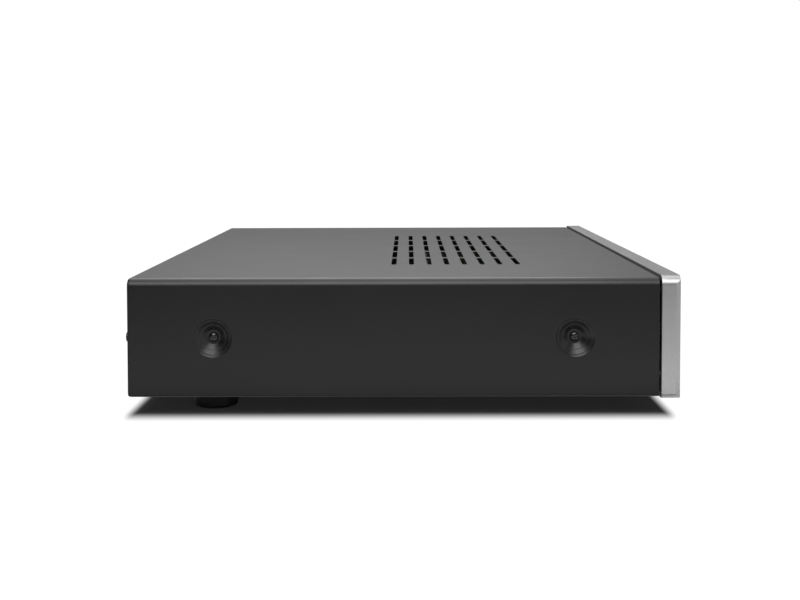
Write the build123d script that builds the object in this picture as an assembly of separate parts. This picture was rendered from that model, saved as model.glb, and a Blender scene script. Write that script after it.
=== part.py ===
from build123d import *
import math
import os

os.makedirs("parts", exist_ok=True)

# A stereo amplifier in millimetres. X runs left to right as seen from the front, the front
# faces -Y, and Z = 0 is the desk. The origin is under the middle of the whole outline.
PANEL_WIDTH = 430.0
BODY_DEPTH = 340.0
COVER_HEIGHT = 73.4
FOOT_HEIGHT = 12.5
SHEET = 1.2

# Gaps: between pieces that move past or rest near each other, round a screw, round a shaft
SEAT_GAP = 0.3
SCREW_GAP = 0.05
RUNNING_GAP = 0.05

# Front panel: a deep silver moulding that stands a little proud of the cover all round
PANEL_DEPTH = 11.4
PANEL_GAP = 1.4
SIDE_INSET = 1.0
PANEL_RISE = 1.4
PANEL_DROP = 1.1
PANEL_WALL = 3.0
PANEL_CORNER = 6.0
PANEL_LOW_CORNER = 3.0
PANEL_BEVEL = 2.8
PANEL_BEVEL_IN = 1.0
BOSS_RADIUS = 3.5

# Top cover: one folded sheet with pressed dishes at its side screws and slots on top
BEND_RADIUS = 5.0
FOLD_RADIUS = 1.5
COVER_LIP = 5.5
COVER_FLANGE = 12.0
NOTCH_RADIUS = 1.3
DISH_RADIUS = 12.0
DISH_FLOOR_RADIUS = 4.6
DISH_DEPTH = 5.0
DISH_RIM = 1.0
DISH_RIM_DEPTH = 0.8
DISH_RING = 1.0
DISH_FRONT_INSET = 51.5
DISH_REAR_INSET = 52.6
SLOT_LENGTH = 43.0
SLOT_WIDTH = 3.5
SLOT_COLUMNS = 8
SLOT_ROWS = 5
SLOT_PITCH_X = 49.5
SLOT_PITCH_Y = 12.1
SLOT_INSET = 163.4
SLOT_MIDDLE = -13.0

# Base pan and front bracket
BASE_RAISE = 0.8
BASE_WALL = 48.0
WALL_SETBACK = 10.0
BASE_FLANGE = 12.0
BRACKET_FLANGE = 14.0
FLOOR_SLOT_ROWS = 4
FLOOR_SLOT_COLUMNS = 3

# Feet, the rear ones nearer the corners
FOOT_RADIUS = 14.25
FOOT_ROUND = 2.0
FOOT_SEAT = 3.5
FOOT_BORE = 4.5
REAR_FOOT_IN = 37.0
REAR_FOOT_FORWARD = 48.5
FRONT_FOOT_IN = 80.0
FRONT_FOOT_BACK = 51.2

# Fasteners: M3 pan heads everywhere, and domed M4 screws in the cover's dishes
M3_RADIUS = 1.5
M3_HEAD_RADIUS = 3.2
M3_HEAD_HEIGHT = 1.5
M3_LENGTH = 6.0
RECESS_LENGTH = 3.4
RECESS_WIDTH = 0.8
RECESS_DEPTH = 0.7
M4_RADIUS = 2.0
DOME_RADIUS = 2.9
DOME_HEIGHT = 2.0
M4_LENGTH = 8.0
TOP_SCREW_SPREAD = 120.0
BASE_SCREW_IN = 12.8

# Front layout: the left group is measured from the panel's left end, the right group from
# its right end, and the source buttons from its middle
POWER_IN = 27.0
POWER_LAMP_IN = 49.0
PHONES_IN = 77.0
WINDOW_IN = 110.0
SOURCE_MIDDLE = -31.0
SOURCE_PITCH = 22.0
SOURCE_COUNT = 4
BASS_IN = 157.0
TREBLE_IN = 115.0
VOLUME_IN = 50.0
LAMP_RISE = 12.0

# Knobs on their shafts
KNOB_PROUD = 18.0
TONE_PROUD = 14.0
KNOB_CLEAR = 0.8
KNOB_WALL = 2.5
KNOB_ROUND = 1.0
VOLUME_RADIUS = 23.0
TONE_RADIUS = 10.0
HUB_RADIUS = 5.5
POINTER_WIDTH = 1.2
POINTER_DEPTH = 0.5
SHAFT_RADIUS = 3.0
SHAFT_FLAT = 1.6
SHAFT_GRIP = 10.0
SHAFT_HOLE = 4.5

# Potentiometers behind the bracket
POT_SIZE = 18.0
POT_FLOOR = 1.5
BUSHING_RADIUS = 3.5
BUSHING_LENGTH = 6.0
POT_NUT_RADIUS = 5.8
POT_NUT_HEIGHT = 2.0

# Buttons, each with a ledge behind the panel and a stem that runs into its switch
POWER_RADIUS = 7.0
POWER_BUTTON_PROUD = 2.2
POWER_TRAVEL = 1.5
SOURCE_WIDTH = 14.0
SOURCE_HEIGHT = 7.0
SOURCE_ROUND = 1.5
SOURCE_PROUD = 1.2
SOURCE_TRAVEL = 0.8
BUTTON_EDGE = 0.5
LEDGE_WIDTH = 1.4
LEDGE_DEPTH = 1.0
STEM_RADIUS = 1.8
STEM_GAP = 0.1
STEM_PASS = 1.2
SWITCH_SIZE = 7.0
SWITCH_HEIGHT = 5.0
SWITCH_FLOOR = 1.0

# Headphone socket, remote-control window and lamps
PHONES_NOSE = 6.0
PHONES_NUT = 8.5
PHONES_NUT_DEPTH = 1.5
PHONES_BORE = 3.2
PHONES_BORE_DEPTH = 28.0
PHONES_BODY = 16.0
PHONES_LENGTH = 24.0
WINDOW_WIDTH = 20.0
WINDOW_HEIGHT = 9.0
WINDOW_GAP = 0.1
WINDOW_LEDGE = 2.0
WINDOW_LEDGE_DEPTH = 1.0
LAMP_RADIUS = 1.5
LAMP_PROUD = 0.3
LAMP_CHIP = 1.0
LAMP_CHIP_WIDTH = 3.0

# Circuit boards on hexagonal standoffs
BOARD = 1.6
STANDOFF = 8.0
STANDOFF_RADIUS = 2.9
BOARD_SIDE_GAP = 6.6
FRONT_BOARD_HEIGHT = 54.0
FRONT_POST_IN = 20.0
FRONT_POST_MIDDLE = 24.0
FRONT_POST_RISE = 22.0
MAIN_FROM_RING = 13.0
MAIN_FROM_FRONT = 42.0
MAIN_FROM_INPUT = 11.0
MAIN_INSET = 7.0
INPUT_RISE = 22.0
INPUT_MARGIN = 14.0

# Output stage on the main board
SINK_IN = 22.0
SINK_BEHIND = 22.0
SINK_LENGTH = 150.0
SINK_PLATE = 5.0
SINK_HEIGHT = 50.0
FIN_DEPTH = 28.0
FIN_THICK = 1.6
FIN_PITCH = 8.0
DEVICE_COUNT = 4
DEVICE_PITCH = 38.0
DEVICE_WIDTH = 15.6
DEVICE_HEIGHT = 20.0
DEVICE_DEPTH = 4.8
DEVICE_RISE = 14.0
LEAD_WIDTH = 1.2
LEAD_PITCH = 5.4
DEVICE_SCREW = 8.0
CAN_RADIUS = 12.5
CAN_HEIGHT = 40.0
CAN_BEHIND = 35.0
SMALL_CAN_RADIUS = 5.0
SMALL_CAN_HEIGHT = 12.0
SMALL_CAN_COUNT = 8
SMALL_CAN_PITCH = 22.0
SMALL_CAN_BEHIND = 63.0
BRIDGE_BESIDE = 48.0
BRIDGE_BEHIND = 28.0
BRIDGE_WIDTH = 28.0
BRIDGE_DEPTH = 6.0
BRIDGE_HEIGHT = 20.0
RELAY_IN = 30.0
RELAY_FORWARD = 35.0
RELAY_PITCH = 30.0
RELAY_LENGTH = 20.0
RELAY_WIDTH = 15.0
RELAY_HEIGHT = 18.0

# Toroidal transformer on rubber pads, held by one long bolt
TOROID_IN = 76.0
TOROID_BEHIND = 92.0
TOROID_RADIUS = 55.0
TOROID_BORE = 18.0
TOROID_HEIGHT = 44.0
TOROID_ROUND = 10.0
PAD = 2.0
WASHER_RADIUS = 42.0
WASHER = 1.5
BOLT_RADIUS = 4.0
BOLT_HEAD_RADIUS = 7.0
BOLT_HEAD = 5.0

# Mains inlet and rocker switch on the rear panel
INLET_IN = 39.0
INLET_FLANGE_X = 31.0
INLET_FLANGE_Z = 24.0
INLET_FLANGE = 2.5
INLET_BODY_X = 27.0
INLET_BODY_Z = 20.0
INLET_BODY = 16.0
INLET_CAVITY_X = 24.0
INLET_CAVITY_Z = 16.0
INLET_FLOOR = 1.5
INLET_CHAMFER = 4.0
PIN_THICK = 2.0
PIN_HEIGHT = 4.0
PIN_SPREAD = 7.0
PIN_OFFSET = 2.0
PIN_BACK = 1.0
TAB_LENGTH = 8.0
ROCKER_IN = 74.0
ROCKER_FLANGE_X = 15.0
ROCKER_FLANGE_Z = 24.0
ROCKER_FLANGE = 1.6
ROCKER_BODY_X = 13.4
ROCKER_BODY_Z = 21.4
ROCKER_BODY = 13.0
ROCKER_WALL = 1.2
ROCKER_AXIS_IN = 1.5
ROCKER_TILT = 9.0
ROCKER_REACH = 8.4
ROCKER_TIP = 4.6
ROCKER_MIDDLE = 2.6
ROCKER_ROOT = 6.0
ROCKER_PIN_RADIUS = 1.0
ROCKER_PIN_LENGTH = 0.9
TAB_SPREAD = 5.0
TAB_THICK = 0.8
TAB_WIDTH = 4.8

# Loudspeaker binding posts
POST_XS = (-95.0, -76.0, -45.0, -26.0)
POST_PROUD = 24.0
POST_FLANGE_RADIUS = 8.5
POST_FLANGE = 3.0
POST_SPIGOT_RADIUS = 5.0
POST_SPIGOT = 2.0
STUD_RADIUS = 3.0
STUD_INSIDE = 14.0
STUD_SHY = 1.0
STUD_NUT = 3.0
BANANA_RADIUS = 2.02
BANANA_DEPTH = 17.0
WIRE_HOLE_RADIUS = 1.1
WIRE_HOLE_OUT = 2.5
COLLAR_RADIUS = 6.5
COLLAR = 1.5
CAP_RADIUS = 7.5
CAP_FLUTES = 12
FLUTE_RADIUS = 0.9

# Phono sockets in upright pairs
JACK_IN = 36.0
JACK_PITCH = 26.0
JACK_COLUMNS = 5
JACK_RISE = 11.0
JACK_BLOCK_WIDTH = 14.0
JACK_BLOCK_HEIGHT = 38.0
JACK_BLOCK_DEPTH = 12.0
SHELL_RADIUS = 4.15
SHELL_ROOT = 4.4
SHELL_WALL = 0.7
SHELL_PROUD = 9.0
CORE_SHY = 2.5
CONTACT_RADIUS = 1.65
CONTACT_DEPTH = 8.0
RING_RADIUS = 6.2
RING = 1.5

# Wiring inside the case
RIBBON_IN = 34.0
RIBBON_WIDTH = 16.0
RIBBON = 0.8
RIBBON_BEND = 4.0
PLUG_DEPTH = 6.0
PLUG_HEIGHT = 8.0
PLUG_Z = 36.0
WIRE_RADIUS = 1.1
WIRE_BEND = 5.0
LEAD_COUNT = 3
LEAD_SPACING = 7.0
TERMINAL_IN = 14.0
TERMINAL_WIDTH = 8.0
TERMINAL_LENGTH = 26.0

# Places that follow from the sizes above
COVER_WIDTH = PANEL_WIDTH - 2 * SIDE_INSET
COVER_HALF = COVER_WIDTH / 2
COVER_BOTTOM = FOOT_HEIGHT
COVER_TOP = COVER_BOTTOM + COVER_HEIGHT
PANEL_FACE = (KNOB_PROUD - BODY_DEPTH - POST_PROUD) / 2
PANEL_BACK = PANEL_FACE + PANEL_DEPTH
PANEL_INNER = PANEL_FACE + PANEL_WALL
PANEL_BOTTOM = COVER_BOTTOM - PANEL_DROP
PANEL_TOP = COVER_TOP + PANEL_RISE
MID_Z = (PANEL_BOTTOM + PANEL_TOP) / 2
COVER_FRONT = PANEL_BACK + PANEL_GAP
COVER_REAR = PANEL_FACE + BODY_DEPTH
UNDER_TOP = COVER_TOP - SHEET - SEAT_GAP
BRACKET_BACK = PANEL_BACK + SHEET
REAR_OUTER = COVER_REAR - SHEET
REAR_INNER = REAR_OUTER - SHEET
REAR_HALF = COVER_HALF - SHEET - SEAT_GAP
BASE_HALF = COVER_HALF - SHEET - DISH_DEPTH
BASE_BOTTOM = COVER_BOTTOM + BASE_RAISE
FLOOR = BASE_BOTTOM + SHEET
FRONT_BOARD = BRACKET_BACK + STANDOFF
MAIN_BOTTOM = FLOOR + STANDOFF
MAIN_TOP = MAIN_BOTTOM + BOARD
KNOB_BACK = PANEL_FACE - KNOB_CLEAR
LEDGE_FRONT = PANEL_INNER + SEAT_GAP
POT_DEPTH = STANDOFF
POST_FACE = REAR_OUTER + POST_FLANGE
COLLAR_FRONT = POST_FACE + SEAT_GAP
CAP_FRONT = COLLAR_FRONT + COLLAR + SEAT_GAP
POST_END = COVER_REAR + POST_PROUD
ROCKER_AXIS = REAR_OUTER - ROCKER_AXIS_IN
INPUT_BOARD = REAR_INNER - JACK_BLOCK_DEPTH - BOARD
BASE_SCREW_X = BASE_HALF - BASE_SCREW_IN

# Where the front controls sit
POWER_X = POWER_IN - PANEL_WIDTH / 2
POWER_LAMP_X = POWER_LAMP_IN - PANEL_WIDTH / 2
PHONES_X = PHONES_IN - PANEL_WIDTH / 2
WINDOW_X = WINDOW_IN - PANEL_WIDTH / 2
BASS_X = PANEL_WIDTH / 2 - BASS_IN
TREBLE_X = PANEL_WIDTH / 2 - TREBLE_IN
VOLUME_X = PANEL_WIDTH / 2 - VOLUME_IN
POT_XS = (BASS_X, TREBLE_X, VOLUME_X)

# Where the rear sockets and the inner pieces sit
INLET_X = INLET_IN - COVER_HALF
ROCKER_X = ROCKER_IN - COVER_HALF
RIBBON_X = COVER_HALF - RIBBON_IN
TOROID_X = TOROID_IN - COVER_HALF
TOROID_Y = FRONT_BOARD + TOROID_BEHIND
MAIN_LEFT = TOROID_X + TOROID_RADIUS + MAIN_FROM_RING
MAIN_RIGHT = BASE_HALF - SHEET - BOARD_SIDE_GAP
MAIN_FRONT = FRONT_BOARD + MAIN_FROM_FRONT
MAIN_REAR = INPUT_BOARD - MAIN_FROM_INPUT
TERMINAL_X = MAIN_LEFT + TERMINAL_IN
VENT_Y = COVER_REAR - SLOT_INSET - SLOT_PITCH_Y * (SLOT_COLUMNS - 1) / 2
SINK_X = MAIN_LEFT + SINK_IN + SINK_LENGTH / 2
SINK_Y = VENT_Y + SINK_BEHIND

# Directions a face or a screw head can look
LEFT, RIGHT = (-1, 0, 0), (1, 0, 0)
FORWARD, REARWARD = (0, -1, 0), (0, 1, 0)
DOWN, UP = (0, 0, -1), (0, 0, 1)
ON_END = (Align.CENTER, Align.CENTER, Align.MIN)


def block(x_span, y_span, z_span):
    """A box between two limits on each axis."""
    spans = (x_span, y_span, z_span)
    sizes = [high - low for low, high in spans]
    middles = [(low + high) / 2 for low, high in spans]
    return Pos(*middles) * Box(*sizes)


def around(middle, size):
    """The two limits of a size centred on a middle."""
    return (middle - size / 2, middle + size / 2)


def at(point, facing):
    """A place whose own Z looks along facing."""
    return Plane(origin=point, z_dir=facing).location


def rod(point, facing, length, radius):
    """A round bar that starts at a point and runs along facing."""
    return at(point, facing) * Cylinder(radius, length, align=ON_END)


def drill(point, facing, depth, radius=M3_RADIUS + SCREW_GAP):
    """The hole under a screw head that sits at point and looks along facing."""
    return at(point, facing) * Pos(0, 0, -depth) * Cylinder(radius, depth + SHEET, align=ON_END)


def hexagon(point, facing, length, radius):
    """A hexagonal bar that starts at a point and runs along facing."""
    return at(point, facing) * extrude(RegularPolygon(radius, 6), length)


def spread(first, pitch, count):
    """Evenly spaced positions."""
    return [first + pitch * index for index in range(count)]


def centred(middle, pitch, count):
    """Evenly spaced positions about a middle."""
    return spread(middle - pitch * (count - 1) / 2, pitch, count)


def save(name, shape):
    """Writes one node, a single solid or a group of separate ones."""
    solids = list(shape) if isinstance(shape, (list, tuple)) else [shape]
    export_step(Compound(solids), f"parts/{name}.step")


# Where the screws sit: each is a point under the head and the way the head looks
SIDE_SCREWS = [
    ((side * (COVER_HALF - DISH_DEPTH), y, COVER_BOTTOM + COVER_HEIGHT / 2), facing)
    for side, facing in ((-1, LEFT), (1, RIGHT))
    for y in (COVER_FRONT + DISH_FRONT_INSET, COVER_REAR - DISH_REAR_INSET)
]
COVER_REAR_SCREWS = [
    ((side * (COVER_HALF - COVER_FLANGE / 2), COVER_REAR, COVER_BOTTOM + COVER_HEIGHT / 2), REARWARD)
    for side in (-1, 1)
] + [
    ((x, COVER_REAR, COVER_TOP - COVER_FLANGE / 2), REARWARD)
    for x in (-TOP_SCREW_SPREAD, 0, TOP_SCREW_SPREAD)
]
BASE_REAR_SCREWS = [
    ((x, REAR_OUTER, FLOOR + BASE_FLANGE / 2), REARWARD)
    for x in (-BASE_SCREW_X, 0, BASE_SCREW_X)
]
BASE_FRONT_SCREWS = [
    ((x, BRACKET_BACK + BRACKET_FLANGE / 2, BASE_BOTTOM), DOWN)
    for x in (-BASE_SCREW_X, 0, BASE_SCREW_X)
]
BRACKET_SIDE_SCREWS = [
    ((side * BASE_HALF, BRACKET_BACK + BRACKET_FLANGE / 2, MID_Z), facing)
    for side, facing in ((-1, LEFT), (1, RIGHT))
]
FEET = [
    (side * (COVER_HALF - inboard), y)
    for inboard, y in (
        (REAR_FOOT_IN, COVER_REAR - REAR_FOOT_FORWARD),
        (FRONT_FOOT_IN, COVER_FRONT + FRONT_FOOT_BACK),
    )
    for side in (-1, 1)
]
FOOT_SCREWS = [((x, y, BASE_BOTTOM - FOOT_SEAT), DOWN) for x, y in FEET]
PANEL_SCREWS = [
    ((x, BRACKET_BACK, z), REARWARD)
    for x in (-BASE_SCREW_X, 0, BASE_SCREW_X)
    for z in (PANEL_BOTTOM + PANEL_WALL + 2 * BOSS_RADIUS + SHEET, PANEL_TOP - PANEL_WALL - 2 * BOSS_RADIUS)
]
JACK_XS = spread(COVER_HALF - JACK_IN, -JACK_PITCH, JACK_COLUMNS)
JACK_SCREWS = [((x, REAR_OUTER, MID_Z), REARWARD) for x in JACK_XS]
MAIN_POSTS = [
    (x, y)
    for x in (MAIN_LEFT + MAIN_INSET, SINK_X + DEVICE_PITCH, MAIN_RIGHT - MAIN_INSET)
    for y in (MAIN_FRONT + MAIN_INSET, (MAIN_FRONT + MAIN_REAR) / 2, MAIN_REAR - MAIN_INSET)
]
FRONT_POSTS = [
    (x, MID_Z + rise)
    for x in (FRONT_POST_IN - MAIN_RIGHT, FRONT_POST_MIDDLE, MAIN_RIGHT - FRONT_POST_IN)
    for rise in (-FRONT_POST_RISE, FRONT_POST_RISE)
]
BOARD_SCREWS = [((x, y, MAIN_TOP), UP) for x, y in MAIN_POSTS] + [
    ((x, FRONT_BOARD + BOARD, z), REARWARD) for x, z in FRONT_POSTS
]
DEVICE_XS = centred(SINK_X, DEVICE_PITCH, DEVICE_COUNT)
DEVICE_Z = MAIN_TOP + DEVICE_RISE
DEVICE_SCREWS = [
    ((x, SINK_Y + DEVICE_DEPTH, DEVICE_Z + DEVICE_HEIGHT * 0.75), REARWARD) for x in DEVICE_XS
]
SOURCE_XS = centred(SOURCE_MIDDLE, SOURCE_PITCH, SOURCE_COUNT)
LAMPS = [(POWER_LAMP_X, MID_Z)] + [(x, MID_Z + LAMP_RISE) for x in SOURCE_XS]


def top_cover():
    """The folded steel cover: top, two sides, bottom lips and a flange round the back."""
    cover = block((-COVER_HALF, COVER_HALF), (COVER_FRONT, COVER_REAR), (COVER_BOTTOM, COVER_TOP))
    long_edges = cover.edges().filter_by(Axis.Y).group_by(Axis.Z)
    cover = fillet(long_edges[-1], BEND_RADIUS)
    cover = fillet(cover.edges().filter_by(Axis.Y).group_by(Axis.Z)[0], FOLD_RADIUS)
    back_edges = cover.faces().sort_by(Axis.Y)[-1].edges()
    cover = fillet([edge for edge in back_edges if edge.center().Z > COVER_BOTTOM + FOLD_RADIUS], FOLD_RADIUS)
    half = COVER_HALF - SHEET
    inside = block((-half, half), (COVER_FRONT - SHEET, REAR_OUTER), (COVER_BOTTOM + SHEET, COVER_TOP - SHEET))
    inside = fillet(inside.edges().filter_by(Axis.Y).group_by(Axis.Z)[-1], BEND_RADIUS - SHEET)
    cover -= inside
    mouth = COVER_HALF - COVER_LIP
    cover -= block((-mouth, mouth), (COVER_FRONT - SHEET, REAR_OUTER), (0, COVER_BOTTOM + 2 * SHEET))
    back = COVER_HALF - COVER_FLANGE
    cover -= block((-back, back), (REAR_INNER, COVER_REAR + SHEET), (0, COVER_TOP - COVER_FLANGE))
    clear = REAR_INNER - SEAT_GAP
    cover -= block((-half, half), (clear, COVER_REAR + SHEET), (0, COVER_BOTTOM + 2 * SHEET))
    for side in (-1, 1):
        corner = (side * (COVER_HALF - NOTCH_RADIUS), COVER_REAR + SHEET, COVER_TOP - NOTCH_RADIUS)
        cover -= rod(corner, FORWARD, 3 * SHEET, NOTCH_RADIUS)
    for (x, y, z), facing in SIDE_SCREWS:
        place = at((math.copysign(COVER_HALF, x), y, z), facing)
        cover += place * dish(SHEET)
        cover -= place * dish(0)
    slots = [
        Pos(x, y, COVER_TOP - 2 * SHEET) * extrude(SlotOverall(SLOT_LENGTH, SLOT_WIDTH), 4 * SHEET)
        for x in centred(SLOT_MIDDLE, SLOT_PITCH_X, SLOT_ROWS)
        for y in spread(COVER_REAR - SLOT_INSET, -SLOT_PITCH_Y, SLOT_COLUMNS)
    ]
    cover -= slots
    cover -= [drill(*screw, M4_LENGTH, M4_RADIUS + SCREW_GAP) for screw in SIDE_SCREWS]
    cover -= [drill(*screw, M3_LENGTH) for screw in COVER_REAR_SCREWS]
    return cover


def dish(wall):
    """The space of a pressed dish sunk below the plane z = 0, or its back when given a wall."""
    rim = DISH_RADIUS - DISH_RIM
    cone = (rim - DISH_FLOOR_RADIUS - 2 * DISH_RING) / 2
    drop = (DISH_DEPTH - DISH_RIM_DEPTH) / 2
    steps = [
        (DISH_RADIUS, 0),
        (rim, DISH_RIM_DEPTH),
        (rim - DISH_RING, DISH_RIM_DEPTH),
        (rim - DISH_RING - cone, DISH_RIM_DEPTH + drop),
        (rim - 2 * DISH_RING - cone, DISH_RIM_DEPTH + drop),
        (DISH_FLOOR_RADIUS, DISH_DEPTH),
        (0, DISH_DEPTH),
    ]
    outline = [(0, -wall)]
    outline += [(radius + (wall if radius else 0), -depth - wall) for radius, depth in steps]
    return revolve(make_face(Plane.XZ * Polyline(*outline, close=True)), Axis.Z)


def base_pan():
    """The steel tray: floor with air slots, two side walls and a rear flange."""
    spans = ((-BASE_HALF, BASE_HALF), (PANEL_BACK, REAR_INNER), (BASE_BOTTOM, BASE_BOTTOM + BASE_WALL))
    pan = block(*spans)
    pan = fillet(pan.edges().filter_by(Axis.Y).group_by(Axis.Z)[0], FOLD_RADIUS)
    half = BASE_HALF - SHEET
    above = (FLOOR, COVER_TOP)
    pan -= block((-half, half), (PANEL_BACK - SHEET, REAR_INNER + SHEET), above)
    pan -= block((-COVER_HALF, COVER_HALF), (REAR_INNER - WALL_SETBACK, REAR_INNER + SHEET), above)
    flange = half - COVER_FLANGE
    pan += block((-flange, flange), (REAR_INNER - SHEET, REAR_INNER), (BASE_BOTTOM, FLOOR + BASE_FLANGE))
    pan -= [
        Pos(x, y, BASE_BOTTOM - SHEET) * extrude(SlotOverall(SLOT_LENGTH, SLOT_WIDTH), 4 * SHEET)
        for x in centred(SINK_X, SLOT_PITCH_X, FLOOR_SLOT_COLUMNS)
        for y in centred(SINK_Y - FIN_DEPTH, SLOT_PITCH_Y, FLOOR_SLOT_ROWS)
    ]
    screws = BASE_REAR_SCREWS + BASE_FRONT_SCREWS + BRACKET_SIDE_SCREWS + FOOT_SCREWS
    pan -= [drill(*screw, M3_LENGTH) for screw in screws]
    pan -= [drill(*screw, M4_LENGTH, M4_RADIUS + SCREW_GAP) for screw in SIDE_SCREWS]
    pan -= rod((TOROID_X, TOROID_Y, 0), UP, MAIN_TOP, BOLT_RADIUS + SCREW_GAP)
    return pan


def rear_panel():
    """The flat steel back with the cut-outs for its sockets and a stiffening top fold."""
    panel = block((-REAR_HALF, REAR_HALF), (REAR_INNER, REAR_OUTER), (BASE_BOTTOM, UNDER_TOP))
    panel = fillet(panel.edges().filter_by(Axis.Y).group_by(Axis.Z)[-1], BEND_RADIUS - SHEET)
    half = REAR_HALF - COVER_FLANGE
    panel += block((-half, half), (REAR_OUTER - COVER_FLANGE, REAR_OUTER), (UNDER_TOP - SHEET, UNDER_TOP))
    through = (REAR_INNER - SHEET, REAR_OUTER + SHEET)
    for x, wide, tall in (
        (INLET_X, INLET_BODY_X, INLET_BODY_Z),
        (ROCKER_X, ROCKER_BODY_X, ROCKER_BODY_Z),
    ):
        panel -= block(around(x, wide + 2 * SEAT_GAP), through, around(MID_Z, tall + 2 * SEAT_GAP))
    behind = REAR_INNER - SHEET
    panel -= [rod((x, behind, MID_Z), REARWARD, 3 * SHEET, POST_SPIGOT_RADIUS + SCREW_GAP) for x in POST_XS]
    panel -= [
        rod((x, behind, MID_Z + rise), REARWARD, 3 * SHEET, SHELL_ROOT + SEAT_GAP)
        for x in JACK_XS
        for rise in (-JACK_RISE, JACK_RISE)
    ]
    panel -= [drill(*screw, M3_LENGTH) for screw in COVER_REAR_SCREWS + BASE_REAR_SCREWS + JACK_SCREWS]
    return panel


def front_bracket():
    """The steel channel behind the front panel that carries the controls."""
    half = BASE_HALF - SHEET
    rear = BRACKET_BACK + BRACKET_FLANGE
    bracket = block((-half, half), (PANEL_BACK, rear), (FLOOR, UNDER_TOP))
    inner = half - SHEET
    bracket -= block((-inner, inner), (BRACKET_BACK, rear + SHEET), (FLOOR + SHEET, UNDER_TOP - SHEET))
    behind = PANEL_BACK - SHEET
    pass_radius = STEM_RADIUS + STEM_PASS
    bracket -= [rod((x, behind, MID_Z), REARWARD, 3 * SHEET, pass_radius) for x in [POWER_X] + SOURCE_XS]
    bracket -= [rod((x, behind, z), REARWARD, 3 * SHEET, LAMP_RADIUS + STEM_PASS) for x, z in LAMPS]
    bracket -= [rod((x, behind, MID_Z), REARWARD, 3 * SHEET, BUSHING_RADIUS + SCREW_GAP) for x in POT_XS]
    bracket -= rod((PHONES_X, behind, MID_Z), REARWARD, 3 * SHEET, PHONES_NOSE + SCREW_GAP)
    through = (behind, BRACKET_BACK + SHEET)
    bracket -= block(around(WINDOW_X, WINDOW_WIDTH - WINDOW_LEDGE), through, around(MID_Z, WINDOW_HEIGHT))
    screws = BASE_FRONT_SCREWS + BRACKET_SIDE_SCREWS + PANEL_SCREWS
    bracket -= [drill(*screw, M3_LENGTH) for screw in screws]
    return bracket


def front_panel():
    """The rounded front shell with screw bosses behind and holes for its controls."""
    half = PANEL_WIDTH / 2
    panel = block((-half, half), (PANEL_FACE, PANEL_BACK), (PANEL_BOTTOM, PANEL_TOP))
    panel = fillet(panel.edges().filter_by(Axis.Y).group_by(Axis.Z)[-1], PANEL_CORNER)
    panel = fillet(panel.edges().filter_by(Axis.Y).group_by(Axis.Z)[0], PANEL_LOW_CORNER)
    face, bevel = half - PANEL_BEVEL_IN, PANEL_FACE + PANEL_BEVEL
    ends = ((-face, PANEL_FACE), (face, PANEL_FACE), (half, bevel), (half, PANEL_BACK))
    ends = Polyline(*ends, (-half, PANEL_BACK), (-half, bevel), close=True)
    panel &= extrude(make_face(ends), PANEL_TOP)
    inner = half - PANEL_WALL
    low, high = PANEL_BOTTOM + PANEL_WALL, PANEL_TOP - PANEL_WALL
    panel -= block((-inner, inner), (PANEL_INNER, PANEL_BACK + SHEET), (low, high))
    for (x, _, z), _ in PANEL_SCREWS:
        panel += rod((x, PANEL_BACK, z), FORWARD, PANEL_DEPTH - PANEL_WALL, BOSS_RADIUS)
    panel -= [drill(*screw, M3_LENGTH) for screw in PANEL_SCREWS]
    before = PANEL_FACE - SHEET
    deep = PANEL_WALL + 2 * SHEET
    panel -= rod((POWER_X, before, MID_Z), REARWARD, deep, POWER_RADIUS + SEAT_GAP)
    panel -= rod((PHONES_X, before, MID_Z), REARWARD, deep, PHONES_NOSE + SEAT_GAP)
    panel -= [rod((x, before, z), REARWARD, deep, LAMP_RADIUS + SCREW_GAP) for x, z in LAMPS]
    panel -= [rod((x, before, MID_Z), REARWARD, deep, SHAFT_HOLE) for x in POT_XS]
    panel -= key_shape(WINDOW_X, WINDOW_WIDTH, WINDOW_HEIGHT, before, deep, WINDOW_GAP)
    for x in SOURCE_XS:
        panel -= key_shape(x, SOURCE_WIDTH, SOURCE_HEIGHT, before, deep, SEAT_GAP)
    return panel


def key_shape(x, width, height, start, length, grow=0.0):
    """A rounded rectangular bar that runs rearward from a start, grown by a gap if asked."""
    outline = RectangleRounded(width + 2 * grow, height + 2 * grow, SOURCE_ROUND + grow)
    place = Plane(origin=(x, start, MID_Z), x_dir=RIGHT, z_dir=REARWARD).location
    return place * extrude(outline, length)


def feet():
    """Four round plastic feet, each with a recess for its screw."""
    solids = []
    for x, y in FEET:
        foot = rod((x, y, 0), UP, BASE_BOTTOM, FOOT_RADIUS)
        foot = fillet(foot.edges().group_by(Axis.Z)[0], FOOT_ROUND)
        foot -= rod((x, y, 0), UP, BASE_BOTTOM - FOOT_SEAT, FOOT_BORE)
        foot -= rod((x, y, 0), UP, MAIN_TOP, M3_RADIUS + SCREW_GAP)
        solids.append(foot)
    return solids


def pan_screw(point, facing, length=M3_LENGTH):
    """An M3 screw whose head rests on a point and looks along facing."""
    head = Cylinder(M3_HEAD_RADIUS, M3_HEAD_HEIGHT, align=ON_END)
    head = fillet(head.edges().group_by(Axis.Z)[-1], M3_HEAD_HEIGHT / 2)
    head -= cross_recess(M3_HEAD_HEIGHT)
    shank = Pos(0, 0, -length) * Cylinder(M3_RADIUS, length, align=ON_END)
    return at(point, facing) * (head + shank)


def dome_screw(point, facing):
    """An M4 screw with a domed head for a cover dish."""
    head = Cylinder(DOME_RADIUS, DOME_HEIGHT, align=ON_END)
    head = fillet(head.edges().group_by(Axis.Z)[-1], DOME_HEIGHT * 0.75)
    head -= cross_recess(DOME_HEIGHT)
    shank = Pos(0, 0, -M4_LENGTH) * Cylinder(M4_RADIUS, M4_LENGTH, align=ON_END)
    return at(point, facing) * (head + shank)


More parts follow.
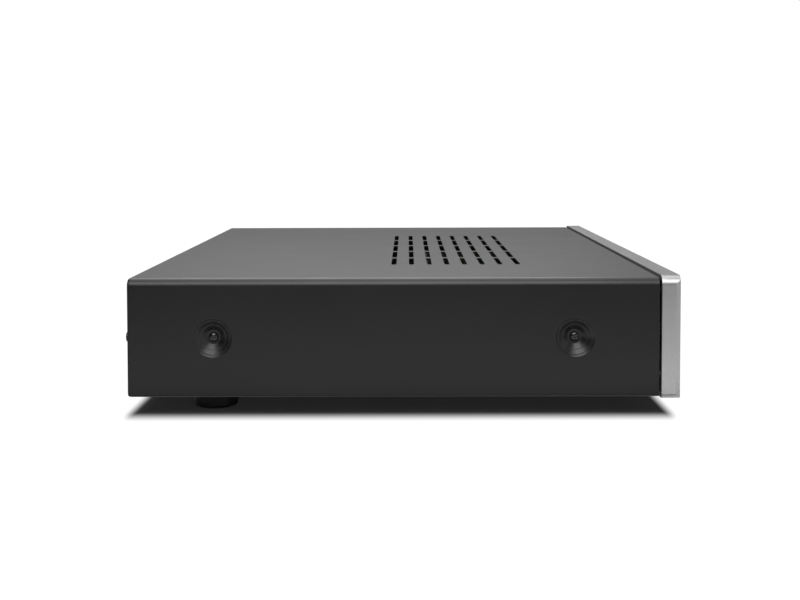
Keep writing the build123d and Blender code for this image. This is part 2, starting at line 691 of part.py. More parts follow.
def cross_recess(top):
    """The two crossed grooves in a screw head whose top is at this height."""
    groove = Box(RECESS_LENGTH, RECESS_WIDTH, 2 * RECESS_DEPTH)
    return Pos(0, 0, top) * (groove + Rot(0, 0, 90) * groove)


def standoffs():
    """Hexagonal spacers under the main board and in front of the front board."""
    solids = []
    for x, y in MAIN_POSTS:
        post = hexagon((x, y, FLOOR), UP, STANDOFF, STANDOFF_RADIUS)
        solids.append(post - drill((x, y, MAIN_TOP), UP, M3_LENGTH))
    for x, z in FRONT_POSTS:
        post = hexagon((x, BRACKET_BACK, z), REARWARD, STANDOFF, STANDOFF_RADIUS)
        solids.append(post - drill((x, FRONT_BOARD + BOARD, z), REARWARD, M3_LENGTH))
    return solids


def main_board():
    """The large circuit board with its wire terminal block."""
    board = block((MAIN_LEFT, MAIN_RIGHT), (MAIN_FRONT, MAIN_REAR), (MAIN_BOTTOM, MAIN_TOP))
    board -= [drill((x, y, MAIN_TOP), UP, M3_LENGTH) for x, y in MAIN_POSTS]
    wide = around(TERMINAL_X, TERMINAL_WIDTH)
    board += block(wide, around(TOROID_Y, TERMINAL_LENGTH), (MAIN_TOP, MAIN_TOP + TERMINAL_WIDTH))
    return board


def heatsink():
    """A finned aluminium extrusion standing on the main board."""
    span = around(SINK_X, SINK_LENGTH)
    tall = (MAIN_TOP, MAIN_TOP + SINK_HEIGHT)
    sink = block(span, (SINK_Y - SINK_PLATE, SINK_Y), tall)
    front = SINK_Y - SINK_PLATE - FIN_DEPTH
    fins = int((SINK_LENGTH - FIN_THICK) / FIN_PITCH) + 1
    for x in centred(SINK_X, FIN_PITCH, fins):
        sink += block(around(x, FIN_THICK), (front, SINK_Y - SINK_PLATE), tall)
    sink -= [drill(*screw, DEVICE_SCREW) for screw in DEVICE_SCREWS]
    return sink


def power_transistors():
    """Four flat power transistors on the heatsink's back, legs down to the board."""
    solids = []
    for x, screw in zip(DEVICE_XS, DEVICE_SCREWS):
        deep = (SINK_Y, SINK_Y + DEVICE_DEPTH)
        device = block(around(x, DEVICE_WIDTH), deep, (DEVICE_Z, DEVICE_Z + DEVICE_HEIGHT))
        for leg in centred(x, LEAD_PITCH, 3):
            legs = around(SINK_Y + DEVICE_DEPTH / 2, LEAD_WIDTH / 2)
            device += block(around(leg, LEAD_WIDTH), legs, (MAIN_TOP, DEVICE_Z))
        solids.append(device - drill(*screw, DEVICE_SCREW))
    return solids


def can(x, y, radius, height):
    """An upright electrolytic capacitor on the main board."""
    body = rod((x, y, MAIN_TOP), UP, height, radius)
    return fillet(body.edges().group_by(Axis.Z)[-1], radius / 10)


def reservoir_capacitors():
    """Four large capacitors in a row behind the transistors."""
    return [can(x, SINK_Y + CAN_BEHIND, CAN_RADIUS, CAN_HEIGHT) for x in DEVICE_XS]


def small_capacitors():
    """A row of small capacitors behind the output stage."""
    xs = centred(SINK_X, SMALL_CAN_PITCH, SMALL_CAN_COUNT)
    y = SINK_Y + SMALL_CAN_BEHIND
    return [can(x, y, SMALL_CAN_RADIUS, SMALL_CAN_HEIGHT) for x in xs]


def bridge_rectifier():
    """The upright rectifier block beside the capacitors."""
    tall = (MAIN_TOP, MAIN_TOP + BRIDGE_HEIGHT)
    x = SINK_X + SINK_LENGTH / 2 + BRIDGE_BESIDE
    body = block(around(x, BRIDGE_WIDTH), around(SINK_Y + BRIDGE_BEHIND, BRIDGE_DEPTH), tall)
    return chamfer(body.edges().filter_by(Axis.Y).group_by(Axis.Z)[-1].sort_by(Axis.X)[0], BRIDGE_DEPTH / 2)


def relays():
    """Two protection relays near the loudspeaker posts."""
    tall = (MAIN_TOP, MAIN_TOP + RELAY_HEIGHT)
    return [
        block(around(x, RELAY_WIDTH), around(MAIN_REAR - RELAY_FORWARD, RELAY_LENGTH), tall)
        for x in spread(MAIN_LEFT + RELAY_IN, RELAY_PITCH, 2)
    ]


def toroidal_transformer():
    """The wound ring, rounded above and below."""
    ring = rod((TOROID_X, TOROID_Y, FLOOR + PAD), UP, TOROID_HEIGHT, TOROID_RADIUS)
    ring = fillet(ring.edges(), TOROID_ROUND)
    return ring - rod((TOROID_X, TOROID_Y, FLOOR), UP, TOROID_HEIGHT + 2 * PAD, TOROID_BORE)


def transformer_pads():
    """A rubber disc under the ring and one on top."""
    solids = []
    for z in (FLOOR, FLOOR + PAD + TOROID_HEIGHT):
        pad = rod((TOROID_X, TOROID_Y, z), UP, PAD, WASHER_RADIUS)
        solids.append(pad - rod((TOROID_X, TOROID_Y, z), UP, PAD, BOLT_RADIUS + SCREW_GAP))
    return solids


def transformer_washer():
    """The steel plate that presses the ring down."""
    z = FLOOR + 2 * PAD + TOROID_HEIGHT
    plate = rod((TOROID_X, TOROID_Y, z), UP, WASHER, WASHER_RADIUS)
    return plate - rod((TOROID_X, TOROID_Y, z), UP, WASHER, BOLT_RADIUS + SCREW_GAP)


def transformer_bolt():
    """The long bolt through the ring and its nut under the floor."""
    head_z = FLOOR + 2 * PAD + TOROID_HEIGHT + WASHER
    nut_z = BASE_BOTTOM - BOLT_HEAD
    bolt = hexagon((TOROID_X, TOROID_Y, head_z), UP, BOLT_HEAD, BOLT_HEAD_RADIUS)
    bolt += rod((TOROID_X, TOROID_Y, nut_z), UP, head_z - nut_z, BOLT_RADIUS)
    nut = hexagon((TOROID_X, TOROID_Y, nut_z), UP, BOLT_HEAD, BOLT_HEAD_RADIUS)
    nut -= rod((TOROID_X, TOROID_Y, nut_z), UP, BOLT_HEAD, BOLT_RADIUS + SCREW_GAP)
    return [bolt, nut]


def input_board():
    """The upright board behind the phono sockets, with its ribbon plug."""
    span = (JACK_XS[-1] - INPUT_MARGIN, JACK_XS[0] + INPUT_MARGIN)
    board = block(span, (INPUT_BOARD, INPUT_BOARD + BOARD), around(MID_Z, 2 * INPUT_RISE))
    plug = around(RIBBON_X, RIBBON_WIDTH + 2 * BOARD)
    return board + block(plug, (INPUT_BOARD - PLUG_DEPTH, INPUT_BOARD), around(PLUG_Z, PLUG_HEIGHT))


def phono_blocks():
    """Black blocks behind the rear panel, each with two insulating cores."""
    solids = []
    deep = (REAR_INNER - JACK_BLOCK_DEPTH, REAR_INNER)
    for x, screw in zip(JACK_XS, JACK_SCREWS):
        body = block(around(x, JACK_BLOCK_WIDTH), deep, around(MID_Z, JACK_BLOCK_HEIGHT))
        for rise in (-JACK_RISE, JACK_RISE):
            length = SHEET + SHELL_PROUD - CORE_SHY
            core = (x, REAR_INNER, MID_Z + rise)
            body += rod(core, REARWARD, length, SHELL_RADIUS - SHELL_WALL - SCREW_GAP)
            tip = (x, REAR_INNER + length, MID_Z + rise)
            body -= rod(tip, FORWARD, CONTACT_DEPTH, CONTACT_RADIUS)
        solids.append(body - drill(*screw, M3_LENGTH))
    return solids


def phono_shells():
    """The plated outer tubes of the sockets, thicker at the root inside their rings."""
    solids = []
    for x in JACK_XS:
        for rise in (-JACK_RISE, JACK_RISE):
            start = (x, REAR_INNER, MID_Z + rise)
            tube = rod(start, REARWARD, SHEET + SHELL_PROUD, SHELL_RADIUS)
            tube += rod(start, REARWARD, SHEET + RING, SHELL_ROOT)
            solids.append(tube - rod(start, REARWARD, SHEET + SHELL_PROUD, SHELL_RADIUS - SHELL_WALL))
    return solids


def phono_rings(rise):
    """The coloured rings of one row of sockets."""
    solids = []
    for x in JACK_XS:
        start = (x, REAR_OUTER, MID_Z + rise)
        ring = rod(start, REARWARD, RING, RING_RADIUS)
        solids.append(ring - rod(start, REARWARD, RING, SHELL_ROOT + SCREW_GAP))
    return solids


def front_board():
    """The long board behind the controls: lamp chips, receiver and ribbon plug."""
    deep = (FRONT_BOARD, FRONT_BOARD + BOARD)
    board = block((-MAIN_RIGHT, MAIN_RIGHT), deep, around(MID_Z, FRONT_BOARD_HEIGHT))
    slot = PHONES_BODY + 2 * SEAT_GAP
    through = (FRONT_BOARD - BOARD, FRONT_BOARD + 2 * BOARD)
    board -= block(around(PHONES_X, slot), through, around(MID_Z, slot))
    board -= [drill((x, FRONT_BOARD + BOARD, z), REARWARD, M3_LENGTH) for x, z in FRONT_POSTS]
    chip = (FRONT_BOARD - LAMP_CHIP, FRONT_BOARD)
    for x, z in LAMPS:
        board += block(around(x, LAMP_CHIP_WIDTH), chip, around(z, LAMP_CHIP_WIDTH))
    eye = around(MID_Z, WINDOW_HEIGHT - WINDOW_LEDGE)
    board += block(around(WINDOW_X, WINDOW_HEIGHT), (FRONT_BOARD - STANDOFF / 2, FRONT_BOARD), eye)
    plug = around(RIBBON_X, RIBBON_WIDTH + 2 * BOARD)
    behind = FRONT_BOARD + BOARD
    return board + block(plug, (behind, behind + PLUG_DEPTH), around(PLUG_Z, PLUG_HEIGHT))


def potentiometers():
    """Three potentiometers with threaded bushings and their nuts."""
    solids = []
    for x in POT_XS:
        deep = (BRACKET_BACK, BRACKET_BACK + POT_DEPTH)
        body = block(around(x, POT_SIZE), deep, around(MID_Z, POT_SIZE))
        body += rod((x, BRACKET_BACK, MID_Z), FORWARD, BUSHING_LENGTH, BUSHING_RADIUS)
        mouth = (x, BRACKET_BACK - BUSHING_LENGTH, MID_Z)
        body -= rod(mouth, REARWARD, BUSHING_LENGTH + POT_DEPTH - POT_FLOOR, SHAFT_RADIUS + RUNNING_GAP)
        nut = hexagon((x, PANEL_BACK, MID_Z), FORWARD, POT_NUT_HEIGHT, POT_NUT_RADIUS)
        nut -= rod((x, PANEL_BACK, MID_Z), FORWARD, POT_NUT_HEIGHT, BUSHING_RADIUS + SCREW_GAP)
        solids += [body, nut]
    return solids


def knob(x, radius, proud):
    """A hollow turned knob: a rounded face, a hub for the shaft and a pointer groove."""
    height = proud - KNOB_CLEAR
    body = rod((x, KNOB_BACK, MID_Z), FORWARD, height, radius)
    body = fillet(body.edges().group_by(Axis.Y)[0], KNOB_ROUND)
    body -= rod((x, KNOB_BACK, MID_Z), FORWARD, height - KNOB_WALL, radius - KNOB_WALL)
    body += rod((x, KNOB_BACK, MID_Z), FORWARD, height - KNOB_WALL, HUB_RADIUS)
    body -= shaft_bar(x, KNOB_BACK - SHAFT_GRIP, KNOB_BACK + SHEET, SCREW_GAP)
    groove = (KNOB_BACK - height - SHEET, KNOB_BACK - height + POINTER_DEPTH)
    body -= block(around(x, POINTER_WIDTH), groove, (MID_Z + radius / 2, MID_Z + radius - KNOB_ROUND))
    return body


def shaft_bar(x, front, rear, grow=0.0):
    """A shaft with a flat along its top, grown by a gap for the bore that takes it."""
    bar = rod((x, front, MID_Z), REARWARD, rear - front, SHAFT_RADIUS + grow)
    flat = MID_Z + SHAFT_FLAT + grow
    return bar - block(around(x, 4 * SHAFT_RADIUS), (front - 1, rear + 1), (flat, flat + SHAFT_RADIUS))


def shaft(x):
    """A control shaft: flat in the knob and round in the potentiometer."""
    front = KNOB_BACK - SHAFT_GRIP + SEAT_GAP
    rear = BRACKET_BACK + POT_DEPTH - POT_FLOOR - SEAT_GAP
    round_part = rod((x, KNOB_BACK + KNOB_CLEAR, MID_Z), REARWARD, rear - PANEL_FACE, SHAFT_RADIUS)
    return shaft_bar(x, front, PANEL_FACE) + round_part


def stem(x, travel):
    """The part of a button that runs from its ledge into the switch."""
    end = FRONT_BOARD - SWITCH_FLOOR - travel - SEAT_GAP
    return rod((x, LEDGE_FRONT, MID_Z), REARWARD, end - LEDGE_FRONT, STEM_RADIUS)


def power_button():
    """The round power button."""
    front = PANEL_FACE - POWER_BUTTON_PROUD
    button = rod((POWER_X, front, MID_Z), REARWARD, LEDGE_FRONT - front, POWER_RADIUS)
    button = fillet(button.edges().group_by(Axis.Y)[0], BUTTON_EDGE)
    button += rod((POWER_X, LEDGE_FRONT, MID_Z), REARWARD, LEDGE_DEPTH, POWER_RADIUS + LEDGE_WIDTH)
    return button + stem(POWER_X, POWER_TRAVEL)


def source_button(x):
    """One rounded rectangular source button."""
    front = PANEL_FACE - SOURCE_PROUD
    button = key_shape(x, SOURCE_WIDTH, SOURCE_HEIGHT, front, LEDGE_FRONT - front)
    button = fillet(button.faces().sort_by(Axis.Y)[0].edges(), BUTTON_EDGE)
    button += key_shape(x, SOURCE_WIDTH, SOURCE_HEIGHT, LEDGE_FRONT, LEDGE_DEPTH, LEDGE_WIDTH)
    return button + stem(x, SOURCE_TRAVEL)


def button_switches():
    """The push switches on the front board."""
    solids = []
    deep = (FRONT_BOARD - SWITCH_HEIGHT, FRONT_BOARD)
    for x in [POWER_X] + SOURCE_XS:
        body = block(around(x, SWITCH_SIZE), deep, around(MID_Z, SWITCH_SIZE))
        mouth = (x, FRONT_BOARD - SWITCH_HEIGHT, MID_Z)
        solids.append(body - rod(mouth, REARWARD, SWITCH_HEIGHT - SWITCH_FLOOR, STEM_RADIUS + STEM_GAP))
    return solids


def headphone_jack():
    """The headphone socket through panel, bracket and board, and its ring nut."""
    deep = (BRACKET_BACK, BRACKET_BACK + PHONES_LENGTH)
    body = block(around(PHONES_X, PHONES_BODY), deep, around(MID_Z, PHONES_BODY))
    front = (PHONES_X, PANEL_FACE - PHONES_NUT_DEPTH, MID_Z)
    body += rod(front, REARWARD, BRACKET_BACK - front[1], PHONES_NOSE)
    body -= rod(front, REARWARD, PHONES_BORE_DEPTH, PHONES_BORE)
    nut = rod(front, REARWARD, PHONES_NUT_DEPTH, PHONES_NUT)
    nut = chamfer(nut.edges().group_by(Axis.Y)[0], BUTTON_EDGE)
    return [body, nut - rod(front, REARWARD, PHONES_NUT_DEPTH, PHONES_NOSE + SCREW_GAP)]


def ir_window():
    """The dark window for the remote control, with its ledge behind the panel."""
    lens = key_shape(WINDOW_X, WINDOW_WIDTH, WINDOW_HEIGHT, PANEL_FACE, PANEL_WALL)
    return lens + key_shape(
        WINDOW_X, WINDOW_WIDTH, WINDOW_HEIGHT, PANEL_INNER, WINDOW_LEDGE_DEPTH, WINDOW_LEDGE
    )


def light_guides():
    """Clear rods that carry light from the board to the panel's face."""
    front = PANEL_FACE - LAMP_PROUD
    length = FRONT_BOARD - LAMP_CHIP - front
    return [rod((x, front, z), REARWARD, length, LAMP_RADIUS) for x, z in LAMPS]


def mains_inlet():
    """The recessed mains inlet, two of its corners cut off."""
    back = REAR_OUTER - INLET_BODY
    face = REAR_OUTER + INLET_FLANGE
    inlet = block(around(INLET_X, INLET_FLANGE_X), (REAR_OUTER, face), around(MID_Z, INLET_FLANGE_Z))
    inlet = fillet(inlet.edges().filter_by(Axis.Y), INLET_FLANGE)
    inlet += block(around(INLET_X, INLET_BODY_X), (back, REAR_OUTER), around(MID_Z, INLET_BODY_Z))
    cavity = block(around(INLET_X, INLET_CAVITY_X), (back + INLET_FLOOR, face), around(MID_Z, INLET_CAVITY_Z))
    cavity = chamfer(cavity.edges().filter_by(Axis.Y).group_by(Axis.Z)[-1], INLET_CHAMFER)
    inlet -= cavity
    return inlet - [pin_bar(x, z, back - INLET_FLOOR, face, SCREW_GAP) for x, z in PINS]


PINS = [
    (INLET_X - PIN_SPREAD, MID_Z - PIN_OFFSET),
    (INLET_X, MID_Z + PIN_OFFSET),
    (INLET_X + PIN_SPREAD, MID_Z - PIN_OFFSET),
]


def pin_bar(x, z, start, end, grow=0.0):
    """One flat contact pin, or the slot that it passes through."""
    wide = around(x, PIN_THICK + 2 * grow)
    return block(wide, (start, end), around(z, PIN_HEIGHT + 2 * grow))


def inlet_pins():
    """The three contact pins and their solder tabs behind."""
    start = REAR_OUTER - INLET_BODY - TAB_LENGTH
    return [pin_bar(x, z, start, REAR_OUTER - PIN_BACK) for x, z in PINS]


def rocker_frame():
    """The mains switch's frame with bearings for the rocker and two tabs."""
    back = REAR_OUTER - ROCKER_BODY
    face = REAR_OUTER + ROCKER_FLANGE
    frame = block(around(ROCKER_X, ROCKER_FLANGE_X), (REAR_OUTER, face), around(MID_Z, ROCKER_FLANGE_Z))
    frame += block(around(ROCKER_X, ROCKER_BODY_X), (back, REAR_OUTER), around(MID_Z, ROCKER_BODY_Z))
    inner_x = ROCKER_BODY_X - 2 * ROCKER_WALL
    inner_z = ROCKER_BODY_Z - 2 * ROCKER_WALL
    frame -= block(around(ROCKER_X, inner_x), (back + ROCKER_WALL, face), around(MID_Z, inner_z))
    pins = inner_x + 2 * (ROCKER_PIN_LENGTH - SEAT_GAP / 2)
    start = (ROCKER_X - pins / 2, ROCKER_AXIS, MID_Z)
    frame -= rod(start, RIGHT, pins, ROCKER_PIN_RADIUS + RUNNING_GAP)
    for z in (MID_Z - TAB_SPREAD, MID_Z + TAB_SPREAD):
        frame += block(around(ROCKER_X, TAB_WIDTH), (back - TAB_LENGTH, back), around(z, TAB_THICK))
    return frame


def rocker():
    """The rocker with its two pivot pins, tilted to its off position."""
    outline = [
        (-ROCKER_REACH, ROCKER_TIP),
        (0, ROCKER_MIDDLE),
        (ROCKER_REACH, ROCKER_TIP),
        (ROCKER_REACH - SEAT_GAP, 0),
        (ROCKER_REACH / 2, -ROCKER_ROOT),
        (-ROCKER_REACH / 2, -ROCKER_ROOT),
        (SEAT_GAP - ROCKER_REACH, 0),
    ]
    width = ROCKER_BODY_X - 2 * ROCKER_WALL - 2 * SEAT_GAP
    face = make_face(Polyline(*[(0, y, z) for z, y in outline], close=True))
    body = Pos(-width / 2, 0, 0) * extrude(face, width, dir=RIGHT)
    pins = width + 2 * ROCKER_PIN_LENGTH
    body += rod((-pins / 2, 0, 0), RIGHT, pins, ROCKER_PIN_RADIUS)
    return Pos(ROCKER_X, ROCKER_AXIS, MID_Z) * Rot(ROCKER_TILT, 0, 0) * body


def post_bases():
    """Insulating bushings that carry the loudspeaker posts."""
    solids = []
    for x in POST_XS:
        base = rod((x, REAR_OUTER, MID_Z), REARWARD, POST_FLANGE, POST_FLANGE_RADIUS)
        base += rod((x, REAR_OUTER, MID_Z), FORWARD, SHEET + POST_SPIGOT, POST_SPIGOT_RADIUS)
        start = (x, REAR_INNER - POST_SPIGOT, MID_Z)
        solids.append(base - rod(start, REARWARD, POST_FACE - start[1], STUD_RADIUS + SCREW_GAP))
    return solids


def post_studs():
    """Plated studs with a plug bore, a cross hole for bare wire, and an inner nut."""
    solids = []
    for x in POST_XS:
        end = POST_END - STUD_SHY
        start = REAR_INNER - STUD_INSIDE
        stud = rod((x, start, MID_Z), REARWARD, end - start, STUD_RADIUS)
        stud -= rod((x, end, MID_Z), FORWARD, BANANA_DEPTH, BANANA_RADIUS)
        cross = (x, POST_FACE + WIRE_HOLE_OUT, MID_Z - 2 * STUD_RADIUS)
        stud -= rod(cross, UP, 4 * STUD_RADIUS, WIRE_HOLE_RADIUS)
        seat = (x, REAR_INNER - POST_SPIGOT, MID_Z)
        nut = hexagon(seat, FORWARD, STUD_NUT, POST_SPIGOT_RADIUS)
        nut -= rod(seat, FORWARD, STUD_NUT, STUD_RADIUS + SCREW_GAP)
        solids += [stud, nut]
    return solids


def post_collar(x):
    """The metal ring that clamps bare wire under a cap."""
    start = (x, COLLAR_FRONT, MID_Z)
    ring = rod(start, REARWARD, COLLAR, COLLAR_RADIUS)
    return ring - rod(start, REARWARD, COLLAR, STUD_RADIUS + RUNNING_GAP)


def post_cap(x):
    """A fluted screw cap, open at its end for a plug."""
    start = (x, CAP_FRONT, MID_Z)
    length = POST_END - CAP_FRONT
    cap = rod(start, REARWARD, length, CAP_RADIUS)
    cap = chamfer(cap.edges().group_by(Axis.Y)[-1], FLUTE_RADIUS)
    for index in range(CAP_FLUTES):
        turn = 2 * math.pi * index / CAP_FLUTES
        side = (x + CAP_RADIUS * math.cos(turn), CAP_FRONT, MID_Z + CAP_RADIUS * math.sin(turn))
        cap -= rod(side, REARWARD, length, FLUTE_RADIUS)
    return cap - rod(start, REARWARD, length, STUD_RADIUS + RUNNING_GAP)


def wire(points, bend=WIRE_BEND, radius=WIRE_RADIUS):
    """A round wire along straight runs joined by arcs."""
    path = FilletPolyline(*points, radius=bend)
    section = Plane(origin=path @ 0, z_dir=path % 0) * Circle(radius)
    return sweep(section, path=path)


def ribbon_cable():
    """The flat cable from the front board over the main board to the input board."""
    start = FRONT_BOARD + BOARD + PLUG_DEPTH
    end = INPUT_BOARD - PLUG_DEPTH
    lying = MAIN_TOP + SEAT_GAP + RIBBON / 2
    drop = PLUG_Z - lying
    points = [
        (RIBBON_X, start, PLUG_Z),
        (RIBBON_X, start + drop, PLUG_Z),
        (RIBBON_X, start + 2 * drop, lying),
        (RIBBON_X, end - 2 * drop, lying),
        (RIBBON_X, end - drop, PLUG_Z),
        (RIBBON_X, end, PLUG_Z),
    ]
    path = FilletPolyline(*points, radius=RIBBON_BEND)
    section = Plane(origin=path @ 0, x_dir=RIGHT, z_dir=path % 0) * Rectangle(RIBBON_WIDTH, RIBBON)
    return sweep(section, path=path)


def ring_reach(offset):
    """How far the ring's side stands out where a wire meets it off its middle line."""
    return math.sqrt(TOROID_RADIUS**2 - max(abs(offset) - WIRE_RADIUS, 0) ** 2)


def mains_wires():
    """Wires from the inlet to the switch, and from both to the transformer."""
    tabs = REAR_OUTER - INLET_BODY - TAB_LENGTH
    rocker_tabs = REAR_OUTER - ROCKER_BODY - TAB_LENGTH
    live, _, neutral = PINS
    low = FLOOR + 4 * WIRE_RADIUS
    middle = FLOOR + PAD + TOROID_HEIGHT / 2
    high = MID_Z + TAB_SPREAD
    turn = tabs - 3 * WIRE_BEND
    solids = [
        wire(
            [
                (live[0], tabs, live[1]),
                (live[0], turn, live[1]),
                (live[0], turn, high),
                (ROCKER_X, turn, high),
                (ROCKER_X, rocker_tabs, high),
            ],
            bend=WIRE_BEND / 2,
        )
    ]
    for x, start, z in ((ROCKER_X, rocker_tabs, MID_Z - TAB_SPREAD), (neutral[0], tabs, neutral[1])):
        ring = TOROID_Y + ring_reach(x - TOROID_X) + SEAT_GAP
        points = [
            (x, start, z),
            (x, turn - 4 * WIRE_BEND, z),
            (x, turn - 4 * WIRE_BEND, low),
            (x, ring + 3 * WIRE_BEND, low),
            (x, ring + 3 * WIRE_BEND, middle),
            (x, ring, middle),
        ]
        solids.append(wire(points))
    return solids


def transformer_leads():
    """Three secondary leads from the ring to the main board's terminals."""
    solids = []
    edge = TERMINAL_X - TERMINAL_WIDTH / 2
    low = MAIN_TOP + TERMINAL_WIDTH / 2
    high = FLOOR + PAD + TOROID_HEIGHT / 2
    for y in centred(TOROID_Y, LEAD_SPACING, LEAD_COUNT):
        ring = TOROID_X + ring_reach(y - TOROID_Y) + SEAT_GAP
        middle = (ring + edge) / 2
        solids.append(wire([(ring, y, high), (middle, y, high), (middle, y, low), (edge, y, low)], bend=3.0))
    return solids


save("top_cover", top_cover())
save("base_pan", base_pan())
save("rear_panel", rear_panel())
save("front_bracket", front_bracket())
save("front_panel", front_panel())
save("feet", feet())
save("cover_screws", [dome_screw(*screw) for screw in SIDE_SCREWS])
CHASSIS_SCREWS = COVER_REAR_SCREWS + BASE_REAR_SCREWS + BASE_FRONT_SCREWS + BRACKET_SIDE_SCREWS
CHASSIS_SCREWS += FOOT_SCREWS + PANEL_SCREWS + JACK_SCREWS
save("chassis_screws", [pan_screw(*screw) for screw in CHASSIS_SCREWS])
device_screws = [pan_screw(*screw, DEVICE_SCREW) for screw in DEVICE_SCREWS]
save("board_screws", [pan_screw(*screw) for screw in BOARD_SCREWS] + device_screws)
save("standoffs", standoffs())
save("main_board", main_board())
save("heatsink", heatsink())
save("power_transistors", power_transistors())
save("reservoir_capacitors", reservoir_capacitors())
save("small_capacitors", small_capacitors())
save("bridge_rectifier", bridge_rectifier())
save("relays", relays())
save("toroidal_transformer", toroidal_transformer())
save("transformer_pads", transformer_pads())
save("transformer_washer", transformer_washer())
save("transformer_bolt", transformer_bolt())
save("input_board", input_board())
save("phono_blocks", phono_blocks())
save("phono_shells", phono_shells())
save("phono_rings_white", phono_rings(JACK_RISE))
save("phono_rings_red", phono_rings(-JACK_RISE))
save("front_board", front_board())
save("potentiometers", potentiometers())
save("button_switches", button_switches())
save("headphone_jack", headphone_jack())
save("ir_window", ir_window())
save("light_guides", light_guides())
save("mains_inlet", mains_inlet())
save("inlet_pins", inlet_pins())
save("rocker_frame", rocker_frame())
save("rocker", rocker())
save("post_bases", post_bases())
save("post_studs", post_studs())
for number, post_x in enumerate(POST_XS, 1):
    save(f"post_collar_{number}", post_collar(post_x))
    save(f"post_cap_{number}", post_cap(post_x))
save("volume_knob", knob(VOLUME_X, VOLUME_RADIUS, KNOB_PROUD))
save("volume_shaft", shaft(VOLUME_X))
save("bass_knob", knob(BASS_X, TONE_RADIUS, TONE_PROUD))
save("bass_shaft", shaft(BASS_X))
save("treble_knob", knob(TREBLE_X, TONE_RADIUS, TONE_PROUD))
save("treble_shaft", shaft(TREBLE_X))
save("power_button", power_button())
for number, source_x in enumerate(SOURCE_XS, 1):
    save(f"source_button_{number}", source_button(source_x))
save("ribbon_cable", ribbon_cable())
save("mains_wires", mains_wires())
save("transformer_leads", transformer_leads())
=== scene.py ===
import math

import bmesh
import bpy
from mathutils import Matrix, Vector


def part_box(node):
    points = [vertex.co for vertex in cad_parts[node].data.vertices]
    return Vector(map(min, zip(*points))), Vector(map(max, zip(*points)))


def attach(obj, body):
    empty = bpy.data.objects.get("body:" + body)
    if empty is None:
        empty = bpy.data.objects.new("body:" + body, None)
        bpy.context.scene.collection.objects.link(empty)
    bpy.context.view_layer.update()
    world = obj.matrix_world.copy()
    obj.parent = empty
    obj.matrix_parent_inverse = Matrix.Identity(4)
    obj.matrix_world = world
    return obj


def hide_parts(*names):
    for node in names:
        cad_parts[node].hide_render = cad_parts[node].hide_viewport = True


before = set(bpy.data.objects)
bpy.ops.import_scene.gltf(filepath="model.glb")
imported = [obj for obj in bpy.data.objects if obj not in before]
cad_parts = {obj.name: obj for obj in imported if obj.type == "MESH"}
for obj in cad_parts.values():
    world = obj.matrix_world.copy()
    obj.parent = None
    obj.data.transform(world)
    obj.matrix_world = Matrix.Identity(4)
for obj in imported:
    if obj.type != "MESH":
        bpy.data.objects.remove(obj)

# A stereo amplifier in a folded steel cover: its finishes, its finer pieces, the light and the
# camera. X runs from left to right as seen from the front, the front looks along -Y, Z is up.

bpy.context.view_layer.update()


# Camera: it looks squarely at the left side from a little above, and the front panel is on the
# right of the picture. The place, the turns and the lens are solved from the photograph.

LENS = 52.209
SHIFT_UP = -0.125
CAMERA_PLACE = (-0.921576, -0.005606, 0.169181)
LOOKS_DOWN = math.radians(2.847)
TURNED_LEFT = math.radians(0.354)
LEANS = math.radians(-0.182)

lens = bpy.data.cameras.new("camera")
lens.lens = LENS
lens.sensor_width = 36
lens.shift_y = SHIFT_UP
lens.clip_start = 0.05
lens.clip_end = 60
camera = bpy.data.objects.new("camera", lens)
bpy.context.scene.collection.objects.link(camera)
camera.matrix_world = (
    Matrix.Translation(CAMERA_PLACE)
    @ Matrix.Rotation(TURNED_LEFT - math.pi / 2, 4, "Z")
    @ Matrix.Rotation(math.pi / 2 - LOOKS_DOWN, 4, "X")
    @ Matrix.Rotation(LEANS, 4, "Z")
)
bpy.context.scene.camera = camera
bpy.context.scene.view_settings.view_transform = "Standard"


# Studio: a white floor that carries a painted soft shadow under the body, a white sky and five
# soft lights. The wide one overhead lights the top, the near one draws the bright line along the
# cover's bend, the far one fills in from the right, and the two at the front light the end of the front
# panel.

SKY_FILL = 0.22
SKY_LOW, SKY_HIGH = 0.10, 0.40
SKY_RISE = 0.16
SKY_BEHIND_CAMERA = 0.2
SKY_DIMS_FROM, SKY_DIMS_TO = -0.3, 0.2
NEAR_BEND = (-0.21, 0.0, 0.085)
# Each light has its place, what it aims at, its width and depth, and its power in watts
LIGHTS = (
    ("overhead_light", (0.35, 0.06, 1.48), NEAR_BEND, 1.1, 2.3, 19.0),
    ("near_light", (-1.30, 0.08, 1.24), NEAR_BEND, 1.3, 1.16, 28.0),
    ("far_light", (1.20, 0.05, 1.05), NEAR_BEND, 1.0, 0.6, 3.8),
    ("front_light", (-0.80, -1.05, 0.40), (-0.21, -0.17, 0.05), 0.6, 0.7, 1.6),
    ("front_card", (-0.66, -0.58, 0.13), (-0.215, -0.17, 0.05), 0.35, 0.22, 0.10),
)


def put(tree, kind, inputs=None, **settings):
    """One shader node: settings are its own, inputs give its sockets a value or what feeds them."""
    node = tree.nodes.new("ShaderNode" + kind)
    for name, value in settings.items():
        setattr(node, name, value)
    for name, value in (inputs or {}).items():
        if isinstance(value, bpy.types.NodeSocket):
            tree.links.new(value, node.inputs[name])
        else:
            node.inputs[name].default_value = value
    return node


def mixed(tree, factor, low, high):
    """A colour or grey between low and high."""
    node = put(tree, "Mix", {"Factor": factor}, data_type="RGBA")
    for index, value in ((6, low), (7, high)):
        if isinstance(value, bpy.types.NodeSocket):
            tree.links.new(value, node.inputs[index])
        else:
            node.inputs[index].default_value = value
    return node.outputs[2]


def grey(level):
    """The grey of this brightness."""
    return (level, level, level, 1)


